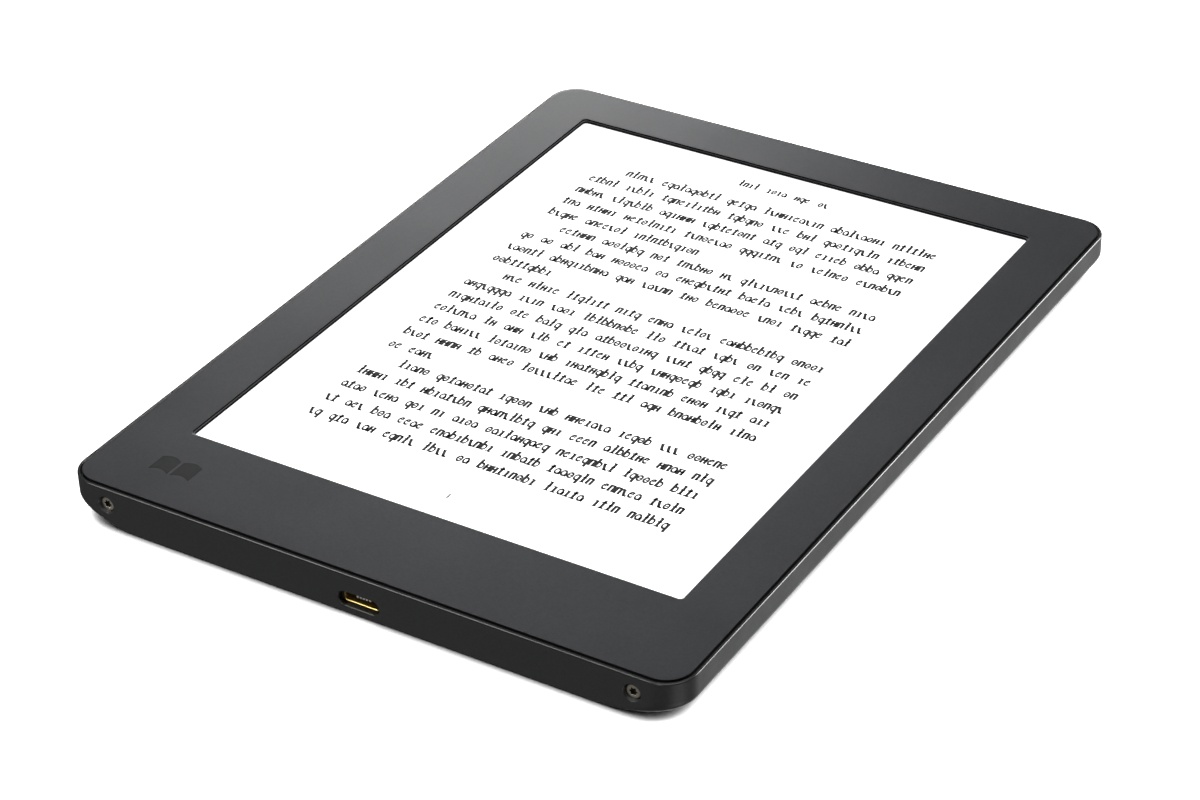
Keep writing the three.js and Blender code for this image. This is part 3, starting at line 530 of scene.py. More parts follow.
class Tree(Wiring):
    """A Geometry Nodes tree with named inputs. grow() runs it on a piece, for a plain mesh."""

    def __init__(self, name, **inputs):
        self.tree = bpy.data.node_groups.new(name, "GeometryNodeTree")
        interface = self.tree.interface
        self.sockets = {}
        for label, kind in {"Geometry": "NodeSocketGeometry", **spaced(inputs)}.items():
            made = interface.new_socket(label, in_out="INPUT", socket_type=kind)
            self.sockets[label] = made
        interface.new_socket("Geometry", in_out="OUTPUT", socket_type="NodeSocketGeometry")
        self.start = self.tree.nodes.new("NodeGroupInput")
        self.end = self.tree.nodes.new("NodeGroupOutput")

    def given(self, label):
        return self.start.outputs[label]

    def triple(self, x, y, z):
        return self.node("ShaderNodeCombineXYZ", {"X": x, "Y": y, "Z": z}).outputs[0]

    def box(self, x, y, z, **inputs):
        inputs = {"Size": self.triple(x, y, z), **spaced(inputs)}
        return self.node("GeometryNodeMeshCube", inputs).outputs["Mesh"]

    def scatter(self, instance, material, points=None, **others):
        """Ends the tree: a copy on each point, made real and given the material input."""
        inputs = {"Points": points or self.given("Geometry"), "Instance": instance}
        spread = self.node("GeometryNodeInstanceOnPoints", {**inputs, **spaced(others)})
        real = self.node("GeometryNodeRealizeInstances", {"Geometry": spread.outputs[0]})
        inputs = {"Geometry": real.outputs[0], "Material": self.given(material)}
        done = self.node("GeometryNodeSetMaterial", inputs)
        self.tree.links.new(done.outputs[0], self.end.inputs[0])
        return self

    def grow(self, piece, **values):
        growth = piece.modifiers.new("growth", "NODES")
        growth.node_group = self.tree
        for label, value in spaced(values).items():
            growth[self.sockets[label].identifier] = value
        bpy.context.view_layer.update()
        return settled(piece)


def word_marks():
    """Sets letter-like marks along each edge of a mesh, picked at random. They spell nothing.
    They are drawn for a height of 1, then scaled to Letter Height and Thickness."""
    sizes = dict.fromkeys(("Letter_Pitch", "Letter_Height", "Stroke", "Thickness"), FLOAT)
    tree = Tree("word_marks", **sizes, Seed=WHOLE, Ink=STUFF)
    stroke = tree.given("Stroke")

    def moved(geometry, x, y, tilt=0.0):
        inputs = {"Geometry": geometry, "Translation": (x, y, 0), "Rotation": (0, 0, tilt)}
        return tree.node("GeometryNodeTransform", inputs).outputs[0]

    def bar(x, low, high, tilt=0.0):
        return moved(tree.box(stroke, high - low, 1.0), x, (low + high) / 2, tilt)

    def dash(left, right, y, weight=0.55):
        thin = tree.joined(stroke, weight)
        return moved(tree.box(right - left, thin, 1.0), (left + right) / 2, y)

    def bowl(width, start=0.0, sweep=2 * math.pi):
        turn = {"Radius": 0.41, "Start Angle": start, "Sweep Angle": sweep - 0.001}
        arc = tree.node("GeometryNodeCurveArc", {"Resolution": 11, **turn}, mode="RADIUS")
        size = {"Width": stroke, "Height": 1.0}
        profile = tree.node("GeometryNodeCurvePrimitiveQuadrilateral", size)
        inputs = {"Curve": arc.outputs["Curve"], "Profile Curve": profile.outputs[0]}
        ring = tree.node("GeometryNodeCurveToMesh", {**inputs, "Fill Caps": True})
        inputs = {"Geometry": ring.outputs[0], "Scale": (width, 1, 1)}
        return moved(tree.node("GeometryNodeTransform", inputs).outputs[0], 0, 0.5)

    def mark(*strokes):
        return tree.node("GeometryNodeJoinGeometry", {"Geometry": list(strokes)}).outputs[0]

    ring = bowl(0.63)
    foot, head = dash(-0.26, 0.28, 0.05), dash(-0.26, 0.02, 0.95)
    feet = dash(-0.36, -0.06, 0.05), dash(0.06, 0.36, 0.05)
    pair = mark(bar(-0.21, 0, 1), bar(0.21, 0, 1), *feet)
    marks = [
        mark(bar(0.02, 0, 1), foot, head),
        mark(bar(0.02, 0, 1.5), foot, dash(-0.26, 0.02, 1.45), dash(-0.2, 0.24, 0.8)),
        mark(ring, dash(-0.26, 0.26, 0.5)),
        mark(bowl(0.63, 0.6, 5.1), dash(-0.24, 0.2, 0.62)),
        mark(pair, dash(-0.3, 0.21, 0.95, 0.9)),
        mark(pair, dash(-0.21, 0.3, 0.52, 0.8), head),
        mark(bar(-0.24, 0, 1.5), bowl(0.6, -1.9, 4.0), dash(-0.38, -0.2, 1.45)),
        mark(bar(0.24, -0.45, 1), bowl(0.6, 1.2, 4.0), dash(0.08, 0.4, -0.4)),
        mark(bar(-0.08, 0, 1, 0.34), dash(-0.38, 0.0, 0.95), dash(-0.05, 0.38, 0.05, 0.9)),
        mark(bar(0, 0.05, 1.3), dash(-0.28, 0.3, 0.95, 0.7), dash(-0.3, 0.3, 0.05, 0.7)),
        mark(ring, bar(0.27, 0.0, 0.6)),
    ]
    picked = tree.node("GeometryNodeGeometryToInstance", {"Geometry": marks})
    words = tree.node("GeometryNodeMeshToCurve", {"Mesh": tree.given("Geometry")})
    inputs = {"Curve": words.outputs[0], "Length": tree.given("Letter Pitch")}
    letters = tree.node("GeometryNodeResampleCurve", inputs, mode="LENGTH")
    inputs = {4: 0, 5: len(marks) - 1, "Seed": tree.given("Seed")}
    chosen = tree.node("FunctionNodeRandomValue", inputs, data_type="INT")
    height = tree.given("Letter Height")
    size = tree.triple(height, height, tree.given("Thickness"))
    choice = {"Pick_Instance": True, "Instance_Index": chosen.outputs[2]}
    return tree.scatter(picked.outputs[0], "Ink", letters.outputs[0], Scale=size, **choice)


def grip_dots():
    """Stands a flat-topped dot on each point of a mesh."""
    tree = Tree("grip_dots", Dot_Radius=FLOAT, Dot_Height=FLOAT, Plastic=STUFF)
    radius = tree.given("Dot Radius")
    inputs = {"Radius Top": radius, "Radius Bottom": tree.joined(radius, 0.6)}
    inputs.update({"Vertices": 9, "Depth": tree.given("Dot Height")})
    dot = tree.node("GeometryNodeMeshCone", inputs)
    return tree.scatter(dot.outputs["Mesh"], "Plastic")


def copies_on_points():
    """Puts a copy of a pattern piece on each point of a mesh."""
    tree = Tree("copies_on_points", Pattern=THING, Metal=STUFF)
    pattern = tree.node("GeometryNodeObjectInfo", {"Object": tree.given("Pattern")})
    return tree.scatter(pattern.outputs["Geometry"], "Metal")


def contact_row():
    """A row of flat spring contacts, one on each point."""
    tree = Tree("contact_row", Width=FLOAT, Length=FLOAT, Height=FLOAT, Metal=STUFF)
    size = [tree.given(label) for label in ("Width", "Length", "Height")]
    return tree.scatter(tree.box(*size, Vertices_Y=4), "Metal")


def seeds(name, points, edges=()):
    """A piece of bare points or edges for a tree to grow on."""
    mesh = bpy.data.meshes.new(name)
    mesh.from_pydata(points, edges, [])
    return shown(name, mesh)


# ---- rear shell

ROLL_WIDTH = 12 * MM
ROLL_HEIGHT = 4.5 * MM
CORNER = 6 * MM
CORNER_GROWTH = 0.2
END_EDGE = 0.6 * MM
BACK_LIFT = 0.1 * MM
RIM_WALL = 0.65 * MM
RIM_EDGE = 0.3 * MM
LEDGE = 7.85 * MM
WALL = 1.2 * MM

SLOT_HALF_WIDTH = 4.31 * MM
SLOT_HALF_HEIGHT = 1.51 * MM
SLOT_FLARE = 0.24 * MM
SLOT_END = -84 * MM
PORT_HALF_HEIGHT = 1.25 * MM

END_SCREWS = ("end_screw_left", "end_screw_right")
SCREW_BORE = {
    "radius": 1.66 * MM, "depth": 1.31 * MM, "flare": 0.16 * MM, "pilot": (0.93 * MM, 3.2 * MM)
}
BUTTON_WELL = {"radius": 5.16 * MM, "depth": 1.4 * MM, "flare": 0.16 * MM, "sides": 96}
LIGHT_WELL = {"radius": 1.0 * MM, "depth": 1.4 * MM, "flare": 0.08 * MM, "sides": 32}

DOT_PITCH = 2.6 * MM
DOT_RADIUS = 0.5 * MM
DOT_AREA = (50 * MM, -82 * MM, 72 * MM)
CLEAR_OF_BUTTON = 7.5 * MM
CLEAR_OF_LIGHT = 3 * MM


def reader_outline(inset):
    side, end = HALF_WIDTH - inset, HALF_LENGTH - inset
    return rounded_outline(-side, side, -end, end, CORNER - inset)


def rolled_rings(inset, base, edge, steps=26):
    """Rings up the rolled underside: the sides and the far end roll, and the charging end
    stays upright over a small rounded edge."""
    rings = []
    width, height = ROLL_WIDTH - inset, ROLL_HEIGHT - base
    for k in range(steps + 1):
        angle = (1 - k / steps) * math.pi / 2
        roll, rise = width * (1 - math.cos(angle)), height * (1 - math.sin(angle))
        below = max(edge - rise, 0)
        step_in = edge - math.sqrt(edge * edge - below * below)
        side = HALF_WIDTH - inset - roll
        near, far = -HALF_LENGTH + inset + step_in, HALF_LENGTH - inset - roll
        corner = CORNER - inset + CORNER_GROWTH * roll
        rings.append(at_height(rounded_outline(-side, side, near, far, corner), base + rise))
    return rings


def rounded_edge(radius, top, inset=0.0):
    """Rings over a rounded outer edge, from its side to its top."""
    steps = quarter_round(radius, 5)
    return stack(reader_outline, *((inset + rise, top - drop) for drop, rise in steps))


def slot_mouth(place):
    """A cutter for the port's round-ended slot along Y, flared at its near mouth."""
    near, rings = -HALF_LENGTH - HAIR, []
    for y, grow in ((near, SLOT_FLARE), (near + SLOT_FLARE, 0), (SLOT_END, 0)):
        wide, tall = SLOT_HALF_WIDTH + grow, SLOT_HALF_HEIGHT + grow
        outline = rounded_outline(-wide, wide, -tall, tall, tall - 2 * HAIR, steps=12, lead=HAIR)
        rings.append([Vector((x, -y, z)) for x, z in outline])
    return skin("slot_mouth", rings, place @ Matrix.Rotation(math.pi, 4, "Z"))


def hole(place, radius, depth, flare, sides=48, pilot=()):
    """A cutter for a round hole whose flared mouth is at the matrix's origin and which goes in
    along its +Z. A narrower pilot hole, given as (radius, depth), may go on below its floor."""
    wide = radius + flare
    profile = [(0, -MM), (wide, -MM), (wide, 0), (radius, flare), (radius, depth)]
    if pilot:
        profile += [(pilot[0], depth), pilot]
    profile.append((0, profile[-1][1]))
    return turned("hole", profile, place, sides)


def shell_hollow():
    """The space inside the housing, less what stands in it: the end wall, the blocks round the
    end screws' threads, and every rib and boss of the CAD housing."""
    inset = WALL / 2
    rings = rolled_rings(inset, inset, 0) + stack(reader_outline, (inset, 7.8 * MM))
    hollow = skin("hollow", rings)
    cut(hollow, block((-1, -1, -1), (1, 0.1 * MM - HALF_LENGTH + inset, 1)))
    around = Vector((2 * MM, 0, 2 * MM))
    for name in END_SCREWS:
        low, high = middle(name) - around, middle(name) + around
        cut(hollow, block((low.x, -1, low.z), (high.x, 1.4 * MM - HALF_LENGTH, high.z)))
    return combine(hollow, copy_of("rear_shell"), "DIFFERENCE")


def rear_shell():
    rings = rolled_rings(0, BACK_LIFT, END_EDGE) + rounded_edge(RIM_EDGE, RIM_TOP)
    rings += stack(reader_outline, (RIM_WALL - 0.12 * MM, RIM_TOP))
    piece = skin("rear_shell_body", rings)
    soft, wall = 0.1 * MM, WALL - 0.01 * MM
    lead_in = stack(
        reader_outline,
        (RIM_WALL, LEDGE),
        (RIM_WALL, RIM_TOP - soft),
        (RIM_WALL - soft, RIM_TOP + HAIR),
        (RIM_WALL - soft, RIM_TOP + MM),
    )
    well = skin("well", stack(reader_outline, (wall, 7.7 * MM), (wall, 8.2 * MM)))
    cut(piece, shell_hollow(), skin("recess", lead_in), well)

    port = Vector((0, 0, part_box("usb_port_shell")[0].z + PORT_HALF_HEIGHT))
    cut(piece, slot_mouth(Matrix.Translation(port)))
    for name in END_SCREWS:
        mouth = middle(name)
        mouth.y = -HALF_LENGTH
        cut(piece, hole(along((0, 1, 0), mouth), **SCREW_BORE))
    for name, well in (("power_button", BUTTON_WELL), ("status_light_pipe", LIGHT_WELL)):
        mouth = middle(name)
        mouth.z = BACK_LIFT
        cut(piece, hole(along((0, 0, 1), mouth), **well))

    finished(piece, READER, SHELL, ["rear_shell"])
    piece.data.materials.append(SLOT_EDGE)
    for face in piece.data.polygons:
        at_end = -0.9 < face.normal.y < -0.5 and face.center.y < 0.3 * MM - HALF_LENGTH
        from_port = face.center - port
        if at_end and abs(from_port.x) < 5 * MM and from_port.z < -1.2 * MM:
            face.material_index = 1
    even_shading(piece)


rear_shell()


def back_grip():
    """Low dots over the flat of the back, staggered, and clear of the button and its light."""
    side, near, far = DOT_AREA
    rise = DOT_PITCH * math.sqrt(3) / 2
    button, light = middle("power_button"), middle("status_light_pipe")
    points = []
    for row in range(int((far - near) / rise) + 1):
        y = near + row * rise
        offset = DOT_PITCH / 2 if row % 2 else 0
        for column in range(int(2 * side / DOT_PITCH)):
            spot = Vector((-side + offset + column * DOT_PITCH, y, BACK_LIFT / 2))
            clear_of_button = (spot - button).xy.length > CLEAR_OF_BUTTON
            if clear_of_button and (spot - light).xy.length > CLEAR_OF_LIGHT:
                points.append(spot)
    size = {"Dot_Radius": DOT_RADIUS, "Dot_Height": BACK_LIFT * 0.98}
    piece = grip_dots().grow(seeds("back_grip", points), Plastic=SHELL, **size)
    finished(piece, READER, SHELL)


back_grip()


# ---- front bezel

OPENING = (-52.25 * MM, 52.25 * MM, -64.2 * MM, 73.8 * MM)
OPENING_CORNER = 1 * MM
LIP_DROP = 0.3 * MM
LIP_WIDTH = 0.3 * MM
BEZEL_INSET = 0.9 * MM
BEZEL_UNDER = 8 * MM
BOOK_PLACE = Vector((-47.6 * MM, -74.9 * MM))


def opening_outline(inset):
    left, right, near, far = OPENING
    corner = max(OPENING_CORNER - inset * 0.6, 0.2 * MM)
    return rounded_outline(left + inset, right - inset, near + inset, far - inset, corner)


def paint_edge_shade_and_highlight(piece):
    """Painted shade and a painted highlight on the bezel's edges: the walls round the page and down
    into the groove, with their rounded edges, are near-black with almost no shine, painted shade
    that also hides their highlights, and the fine step on the way down to the page is painted
    paler, a painted highlight."""
    piece.data.materials.append(BEZEL_WALL_SHADE)
    piece.data.materials.append(BEZEL_STEP_HIGHLIGHT)
    for face in piece.data.polygons:
        if face.center.z < BEZEL_UNDER:
            continue
        if abs(face.normal.z) < 0.93:
            face.material_index = 1
        elif face.center.z < FACE - LIP_DROP / 2:
            face.material_index = 2


def front_bezel():
    edge, soft = 0.08 * MM, 0.06 * MM
    lip, ease = FACE - LIP_DROP, soft * 0.3
    rings = stack(reader_outline, (BEZEL_INSET, BEZEL_UNDER))
    rings += rounded_edge(edge, FACE, BEZEL_INSET)
    rings += stack(reader_outline, (BEZEL_INSET + edge + 0.3 * MM, FACE))
    rings += stack(
        opening_outline,
        (-0.4 * MM, FACE),
        (-soft, FACE),
        (-ease, FACE - ease),
        (0, FACE - soft),
        (0, lip + 0.02 * MM),
        (0.02 * MM, lip),
        (LIP_WIDTH - soft, lip),
        (LIP_WIDTH - ease, lip - ease),
        (LIP_WIDTH, lip - soft),
        (LIP_WIDTH, BEZEL_UNDER),
    )
    piece = skin("front_bezel_body", rings, loop=True)
    # The underside is the CAD bezel's own, cut off just above the joint and lower round the page.
    under = copy_of("front_bezel")
    side, near, far = 57.3 * MM, -78.5 * MM, 83 * MM
    cut(
        under,
        block((-1, -1, BEZEL_UNDER + 0.01 * MM), (1, 1, 1)),
        block((-side, near, 7.9 * MM), (side, far, 0.5)),
    )
    combine(piece, under, "UNION")
    finished(piece, READER, BEZEL, ["front_bezel"])
    # Painted shade on the walls, and a painted highlight on the step.
    paint_edge_shade_and_highlight(piece)
    even_shading(piece)


front_bezel()


def book_mark():
    """A plain open book in darker ink, lower left on the bezel: two leaves with bowed edges."""
    width, height, bow, gap, steps = 4.2 * MM, 4.4 * MM, 0.75 * MM, 0.28 * MM, 14
    across = [k / steps for k in range(steps + 1)]
    bowed = [(gap + width * t, bow * math.sin(math.pi * t)) for t in across]
    leaves = []
    for side in (-1, 1):
        lower = [(side * x, y - height / 2) for x, y in bowed]
        upper = [(x, y + height) for x, y in reversed(lower)]
        outline = [(BOOK_PLACE.x + x, BOOK_PLACE.y + y) for x, y in lower + upper][::side]
        levels = FACE - 0.02 * MM, FACE + MARK_HEIGHT
        leaves.append(skin("leaf", [at_height(outline, z) for z in levels]))
    piece = combine(leaves[0], leaves[1], "UNION")
    piece.name = "book_mark"
    finished(piece, READER, MARK_INK)


book_mark()


# ---- page

LINE_PITCH = 5.25 * MM
FIRST_LINE = 59.1 * MM
MARGINS = (-38.7 * MM, 38.7 * MM)
INDENT = 5.9 * MM
LETTER_PITCH = 1.36 * MM
LETTER_HEIGHT = 1.9 * MM
WORD_GAP = 1.9 * MM
LINES = 21
INDENTED = (0, 5, 9, 16)
SHORT = {4: -3.1 * MM, 8: -25.7 * MM, 15: -28.4 * MM}
HEADING = (-10.4 * MM, 10.9 * MM, 65.9 * MM)
HEADING_SIZE = 0.86
WORD_LENGTHS = (2, 3, 3, 3, 4, 4, 4, 5, 5, 6, 7, 8, 9, 10)


def words_between(left, right, pitch, justified, chance):
    """Word spans that fill a line. A justified line's gaps stretch to meet the right margin."""
    spans, x = [], left
    while right - x > pitch * 1.5:
        letters = chance.choice(WORD_LENGTHS)
        letters = min(letters, max(2, int((right - x) / pitch)))
        if 0 < right - x - letters * pitch < WORD_GAP + 2 * pitch:
            letters += round((right - x - letters * pitch) / pitch)
        spans.append([x, letters])
        x += letters * pitch + WORD_GAP
    over = x - WORD_GAP - right
    if justified and len(spans) > 1:
        for k, span in enumerate(spans):
            span[0] -= over * k / (len(spans) - 1)
    return [(start + pitch / 2, start + pitch * (count - 0.48)) for start, count in spans]


def page_sheet():
    """The bonded face of the display: the white page, with a rounded edge under the bezel."""
    low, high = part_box("cover_film")
    edge = 0.03 * MM
    rings = []
    levels = [(low.z, edge), (low.z + edge, 0), (high.z - edge, 0), (high.z, edge)]
    for z, inset in [*levels, (high.z, 0.6 * MM)]:
        sides = (low.x + inset, high.x - inset, low.y + inset, high.y - inset)
        rings.append(at_height(rounded_outline(*sides, 0.8 * MM, steps=6), z))
    finished(skin("page_sheet", rings), READER, PAGE, ["cover_film"])


def set_words(setting, name, lines, size, stroke, seed):
    """Words of marks along lines, each a height and its (start, stop) spans."""
    ends = [(x, y, SCREEN) for y, spans in lines for span in spans for x in span]
    edges = [(k, k + 1) for k in range(0, len(ends), 2)]
    piece = setting.grow(
        seeds(name, ends, edges),
        Letter_Pitch=LETTER_PITCH * size,
        Letter_Height=LETTER_HEIGHT * size,
        Stroke=stroke,
        Thickness=0.02 * MM,
        Seed=seed,
        Ink=PAGE_INK,
    )
    finished(piece, READER, PAGE_INK)


def page_words():
    """Lines of words, a smaller heading above them, and a tick at the foot of the page."""
    chance = random.Random(11)
    setting = word_marks()
    lines = []
    for line in range(LINES):
        y = FIRST_LINE - line * LINE_PITCH - LETTER_HEIGHT / 2
        left = MARGINS[0] + (INDENT if line in INDENTED else 0)
        right = SHORT.get(line, MARGINS[1])
        justified = line not in SHORT
        lines.append((y, words_between(left, right, LETTER_PITCH, justified, chance)))
    set_words(setting, "page_words", lines, 1, 0.3, 5)
    left, right, y = HEADING
    spans = words_between(left, right, LETTER_PITCH * HEADING_SIZE, False, chance)
    set_words(setting, "page_heading", [(y, spans)], HEADING_SIZE, 0.32, 8)
    low, high = SCREEN - 0.01 * MM, SCREEN + 0.01 * MM
    tick = block((-0.45 * MM, -57.6 * MM, low), (-0.15 * MM, -56.1 * MM, high))
    tick.name = "page_tick"
    finished(tick, READER, PAGE_INK)


page_sheet()
page_words()


# ---- screws


SHANK = 0.7 * MM
THREAD_PITCH = 0.4 * MM
END_SCREW_HEAD = 0.75 * MM
INNER_SCREW_HEAD = 0.7 * MM


def screw_rings(head, tall, length):
    """A screw along +Z with its star-socketed face at 0 and its threaded shank above."""
    socket, dome, soft, ease = head * 0.5, 0.06 * MM, 0.16 * MM, 0.04 * MM
    steps = ((0.8, tall * 0.68), (0.94, tall * 0.62), (1, tall * 0.5), (1, 0.05 * MM), (1.08, 0))
    rings = [circle(socket * size, z, lobing=0.2) for size, z in steps]
    rounds = [(head * 0.72, 0), (head - soft - dome, 0.015 * MM)]
    rounds += [(head - side, 0.02 * MM + deep) for side, deep in quarter_round(soft, 4)]
    rounds += [(head, tall - ease), (head - ease, tall), (SHANK + 0.05 * MM, tall)]
    turns = int((length - 0.4 * MM) / THREAD_PITCH)
    for k in range(turns):
        z = tall + k * THREAD_PITCH
        for size, rise in ((0.8, 0.3), (1, 0.6), (1, 0.72)):
            rounds.append((SHANK * size, z + THREAD_PITCH * rise))
    rounds.append((SHANK * 0.8, tall + turns * THREAD_PITCH + 0.1 * MM))
    rounds.append((SHANK * 0.5, tall + length))
    return rings + [circle(radius, z) for radius, z in rounds]


def end_screws():
    for node in END_SCREWS:
        low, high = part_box(node)
        centre = middle(node)
        centre.y = low.y
        head = (high.x - low.x) / 2
        rings = screw_rings(head, END_SCREW_HEAD, high.y - low.y - END_SCREW_HEAD)
        piece = skin(node + "_body", rings, along((0, 1, 0), centre))
        finished(piece, READER, SCREW_STEEL, [node])
        # The star socket gets the dark oxide, which is also painted shade in the recess.
        piece.data.materials.append(SOCKET_OXIDE_SHADE)
        for face in piece.data.polygons:
            off_axis = (face.center - centre).xz.length
            in_socket = low.y + 0.03 * MM < face.center.y < low.y + 0.6 * MM
            if in_socket and off_axis < head * 0.62:
                face.material_index = 1


def inner_screws(kind, length):
    """The same screw, copied to each of its kind's places."""
    nodes = sorted(n for n in frame["nodes"] if n.startswith(kind))
    points = [(*middle(n).xy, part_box(n)[0].z) for n in nodes]
    low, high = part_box(nodes[0])
    pattern = skin("pattern", screw_rings((high.x - low.x) / 2, INNER_SCREW_HEAD, length))
    pattern.data.shade_smooth()
    piece = copies_on_points().grow(seeds(kind + "_set", points), Pattern=pattern, Metal=ZINC)
    bpy.data.objects.remove(pattern)
    finished(piece, READER, ZINC, nodes)


end_screws()
inner_screws("board_screw", 1.6 * MM)
inner_screws("frame_screw", 2.3 * MM)


# ---- charging port

PORT_HALF_WIDTH = 3.75 * MM
PORT_CHAMFER = 0.8 * MM
PORT_SHEET = 0.25 * MM
BLADE_HALF_WIDTH = 1.95 * MM
CONTACT_PITCH = 0.65 * MM


def softened(corners, radii, steps=6):
    """An anticlockwise outline through corners, each rounded off by its own radius."""
    points = []
    for k, (corner, radius) in enumerate(zip(corners, radii)):
        here, after = Vector(corner), Vector(corners[(k + 1) % len(corners)])
        start = here + (Vector(corners[k - 1]) - here).normalized() * radius
        end = here + (after - here).normalized() * radius
        for j in range(steps + 1):
            t = j / steps
            points.append(start * (1 - t) ** 2 + here * 2 * t * (1 - t) + end * t**2)
    return points


def port_outline(inset):
    wide, tall, slope = PORT_HALF_WIDTH - inset, PORT_HALF_HEIGHT - inset, PORT_CHAMFER
    shape = [(-wide, -tall), (wide, -tall), (wide, tall - slope), (wide - slope, tall)]
    shape += [(slope - wide, tall), (-wide, tall - slope)]
    bottom, top = max(0.8 * MM - inset, 0.3 * MM), max(0.36 * MM - inset, 0.14 * MM)
    return softened(shape, [bottom] * 2 + [top] * 4)


def charging_port():
    """The rolled shell with its rounded lip and its two ears, the tongue's plug and blade, and
    the five contacts with their tips."""
    low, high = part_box("usb_port_shell")
    height = low.z + PORT_HALF_HEIGHT
    mouth, back = low.y, high.y

    def ring(inset, y):
        return [Vector((x, y, height + z)) for x, z in reversed(port_outline(inset))]

    edge, lip = 0.04 * MM, 0.16 * MM
    rings = [ring(0, back), ring(0, mouth + edge), ring(edge * 0.3, mouth + edge * 0.3)]
    rings += [ring(PORT_SHEET - side, mouth + deep) for side, deep in quarter_round(lip, 6)]
    rings.append(ring(PORT_SHEET, back))
    shell = skin("usb_port_shell_body", rings[::-1], loop=True)
    for side in (-1, 1):
        left, right = sorted((side * (PORT_HALF_WIDTH - 0.45 * MM), side * high.x))
        ear = block((left, -82.2 * MM, 3.6 * MM), (right, -80.6 * MM, 3.85 * MM))
        combine(shell, ear, "UNION")
    finished(shell, READER, GOLD, ["usb_port_shell"])

    fit = PORT_SHEET + 0.06 * MM
    plug = skin("usb_port_tongue_body", [ring(fit, back - y * MM) for y in (0.1, 2.4)])
    tip, top, under = mouth + 0.6 * MM, height + 0.62 * MM, height + 0.12 * MM
    soft = 0.08 * MM
    blade = []
    for y, inset in ((back - 2.3 * MM, 0), (tip + soft * 2, 0), (tip, soft)):
        side = BLADE_HALF_WIDTH - inset
        sides = (-side, side, under + inset, top - inset)
        outline = rounded_outline(*sides, 0.09 * MM, steps=4, lead=0.01 * MM)
        blade.append([Vector((-x, y, z)) for x, z in outline])
    combine(plug, skin("blade", blade), "UNION")
    finished(plug, READER, TONGUE, ["usb_port_tongue"])

    # The tips' near-white finish is a painted highlight.
    rows = (
        ("usb_contacts", 1.45, -0.01, (0.32, 2.3, 0.09), GOLD),
        ("usb_contact_tips", 0.04, -0.2, (0.34, 0.16, 0.36), CONTACT_TIP_GLINT),
    )
    for name, y, z, size, metal in rows:
        spots = [(k * CONTACT_PITCH, tip + y * MM, under + z * MM) for k in range(-2, 3)]
        size = {label: n * MM for label, n in zip(("Width", "Length", "Height"), size)}
        contacts = contact_row().grow(seeds(name, spots), Metal=metal, **size)
        finished(contacts, READER, metal)


charging_port()


# ---- power button


def power_button():
    """The cap with its shallow dish and rounded edge, the flange that holds it in, and the stem."""
    low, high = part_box("power_button")
    centre = middle("power_button")
    place = Matrix.Translation((centre.x, centre.y, 0))
    cap, face, flange, stem = 4.9 * MM, low.z, (high.x - low.x) / 2, 1.4 * MM
    dish, ease = face + 0.13 * MM, 0.06 * MM
    profile = [(0, dish)]
    for k in range(1, 13):
        profile.append(((cap - MM) * k / 12, dish - 0.09 * MM * (k / 12) ** 2))
    profile += [(cap - side, face + deep) for side, deep in quarter_round(0.4 * MM, 8)]
    profile += [
        (cap, 1.2 * MM),
        (flange - ease, 1.2 * MM),
        (flange, 1.26 * MM),
        (flange, 1.64 * MM),
        (flange - ease, 1.7 * MM),
        (1.45 * MM, 1.7 * MM),
        (stem, 1.75 * MM),
        (stem, high.z - 0.05 * MM),
        (1.35 * MM, high.z),
        (0, high.z),
    ]
    piece = turned("power_button_cap", profile, place, 96)
    finished(piece, "power_button", BUTTON_BLUE, ["power_button"])


power_button()


def button_boot():
    """The silicone ring between the button's flange and its board, its wall waisted at the middle."""
    low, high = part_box("button_boot")
    centre = middle("button_boot")
    outer, inner, waist, soft = 5.7 * MM, 4.28 * MM, 0.24 * MM, 0.16 * MM
    height, ease = high.z - low.z, soft * 0.3
    levels = [k / 10 for k in range(11)]
    waisting = [(waist * math.sin(math.pi * t), (height - 2 * soft) * t) for t in levels]
    profile = [(outer - soft, low.z), (outer - ease, low.z + ease)]
    profile += [(outer - drawn, low.z + soft + rise) for drawn, rise in waisting]
    profile += [(outer - ease, high.z - ease), (outer - soft, high.z)]
    profile += [(inner + soft, high.z), (inner + ease, high.z - ease)]
    profile += [(inner + drawn, high.z - soft - rise) for drawn, rise in waisting]
    profile += [(inner + ease, low.z + ease), (inner + soft, low.z)]
    place = Matrix.Translation((centre.x, centre.y, 0))
    ring = skin("button_boot_body", [circle(r, z, 64) for r, z in profile], place, loop=True)
    finished(ring, READER, FINISH_OF_SLOT["boot"], ["button_boot"])
    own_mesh(ring)


button_boot()


# ---- floor, lights and camera


FLOOR_SIDE = 6
SHADE_REACH = 2.2 * MM
# Each lamp: the way to it from the reader, its distance, width and height, and its brightness.
LAMPS = {
    "overhead": ((0.1, -0.1, 1.0), 1.3, 1.1, 1.1, 2.1),
    "back_left": ((-0.585, 0.80, 0.215), 1.4, 0.46, 0.36, 10.0),
    "back_right": ((0.56, 0.746, 0.36), 1.2, 0.5, 0.7, 21.0),
    "front_left": ((-0.49, -0.58, 0.65), 1.2, 0.4, 0.4, 14.0),
    "front_low": ((0.15, -0.93, 0.3), 1.2, 0.3, 0.3, 7.0),
    "bounce_right": ((0.36, 0.75, -0.55), 1.2, 0.7, 0.7, 1.0),
    "bounce_front": ((-0.49, -0.63, -0.59), 1.2, 0.7, 0.7, 0.15),
    "bounce_under": ((0.5, -0.2, -0.6), 1.2, 0.6, 0.6, 2.0),
    "bounce_back": ((-0.15, 0.65, -0.75), 1.2, 0.7, 0.7, 2.6),
}


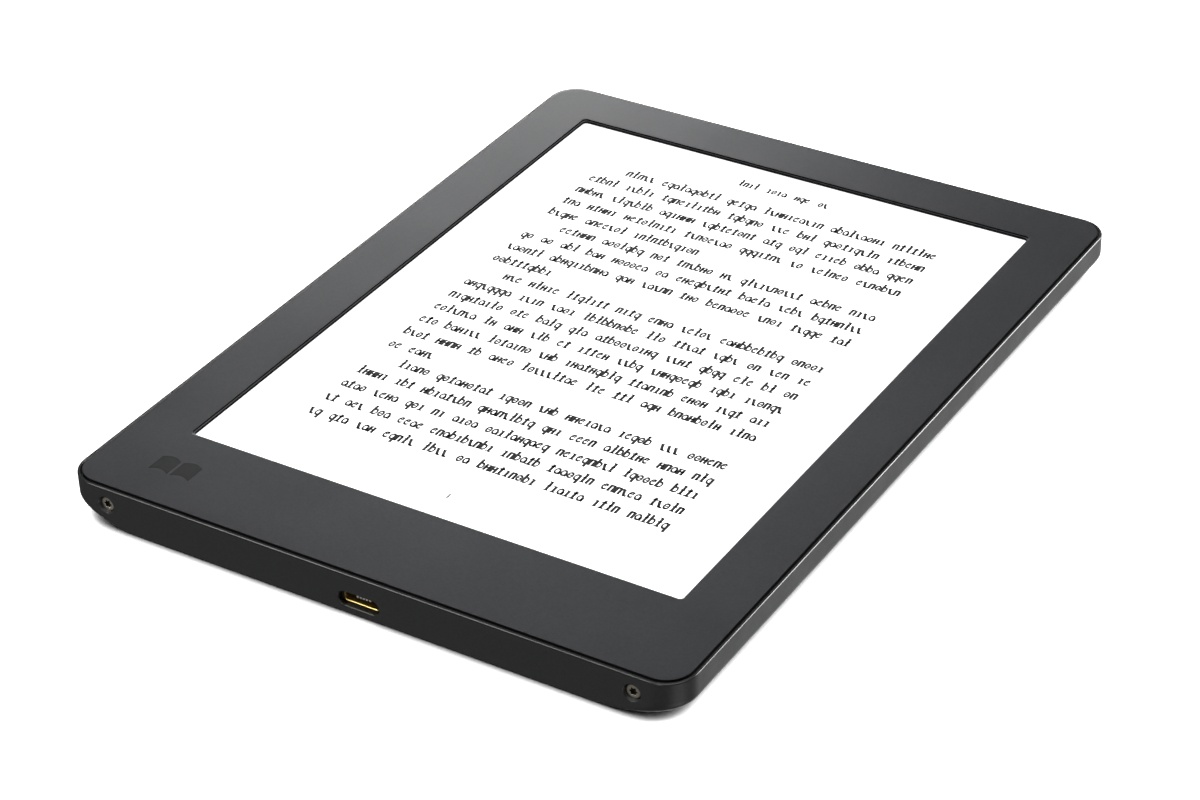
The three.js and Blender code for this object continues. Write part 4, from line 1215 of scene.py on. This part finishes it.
def floor():
    """A pale floor, seen from above only, that is shaded just where the reader nearly meets it."""
    mesh = bpy.data.meshes.new("floor")
    near, far = -FLOOR_SIDE, FLOOR_SIDE
    corners = [(near, near, 0), (far, near, 0), (far, far, 0), (near, far, 0)]
    mesh.from_pydata(corners, [], [(0, 1, 2, 3)])
    piece = shown("floor", mesh)
    finish = Finish(
        "pale_floor", Roughness=0.9, Specular_IOR_Level=0.0, Emission_Color=(1, 1, 1, 1)
    )
    shade = finish.node("ShaderNodeAmbientOcclusion", {"Distance": SHADE_REACH}, samples=6)
    openness = finish.ranged(shade.outputs["AO"], 0, 1, 0.42, 0.97)
    finish.feed("Base Color", finish.mixed(openness, (0.02, 0.02, 0.02), (0.93, 0.93, 0.93)))
    finish.feed("Emission Strength", openness)
    under = finish.node("ShaderNodeNewGeometry").outputs["Backfacing"]
    clear = finish.node("ShaderNodeBsdfTransparent").outputs[0]
    inputs = {0: under, 1: finish.shader.outputs[0], 2: clear}
    one_sided = finish.node("ShaderNodeMixShader", inputs).outputs[0]
    finish.tree.links.new(one_sided, finish.tree.nodes["Material Output"].inputs["Surface"])
    mesh.materials.append(finish.material)
    piece.visible_diffuse = piece.visible_glossy = piece.visible_shadow = False


def lamp(name, direction, distance, width, height, radiance):
    """An area lamp that faces the reader and is as bright as seen from it, whatever its size."""
    light = bpy.data.lights.new(name, "AREA")
    light.shape = "RECTANGLE"
    light.size, light.size_y = width, height
    light.energy = radiance * math.pi * width * height
    holder = shown(name, light)
    holder.location = Vector(direction).normalized() * distance
    holder.rotation_euler = (-holder.location).to_track_quat("-Z", "Y").to_euler()
    holder.visible_camera = False


def surroundings(seen, cast):
    """A white room to the eye, which lights the reader more softly than it looks."""
    world = bpy.data.worlds.new("studio")
    bpy.context.scene.world = world
    world.use_nodes = True
    studio = Wiring()
    studio.tree = world.node_tree
    seen_directly = studio.node("ShaderNodeLightPath").outputs["Is Camera Ray"]
    strength = studio.node("ShaderNodeMix", {0: seen_directly, 2: cast, 3: seen}).outputs[0]
    background = studio.tree.nodes["Background"]
    background.inputs["Color"].default_value = (1, 1, 1, 1)
    studio.tree.links.new(strength, background.inputs["Strength"])


def camera(place, target, lens, roll):
    data = bpy.data.cameras.new("camera")
    data.lens, data.sensor_width = lens, 36
    data.clip_start, data.clip_end = 0.01, 20
    holder = shown("camera", data)
    look = (Vector(target) - Vector(place)).to_track_quat("-Z", "Y").to_matrix().to_4x4()
    turn = Matrix.Rotation(math.radians(roll), 4, "Z")
    holder.matrix_world = Matrix.Translation(place) @ look @ turn
    bpy.context.scene.camera = holder


floor()
surroundings(seen=1.0, cast=0.1)
for name, setting in LAMPS.items():
    lamp(name, *setting)
camera((0.27615, -0.44039, 0.33661), (0.00399, -0.01217, 0.004), 96.7, -1.9)

bpy.context.scene.view_settings.view_transform = "Standard"
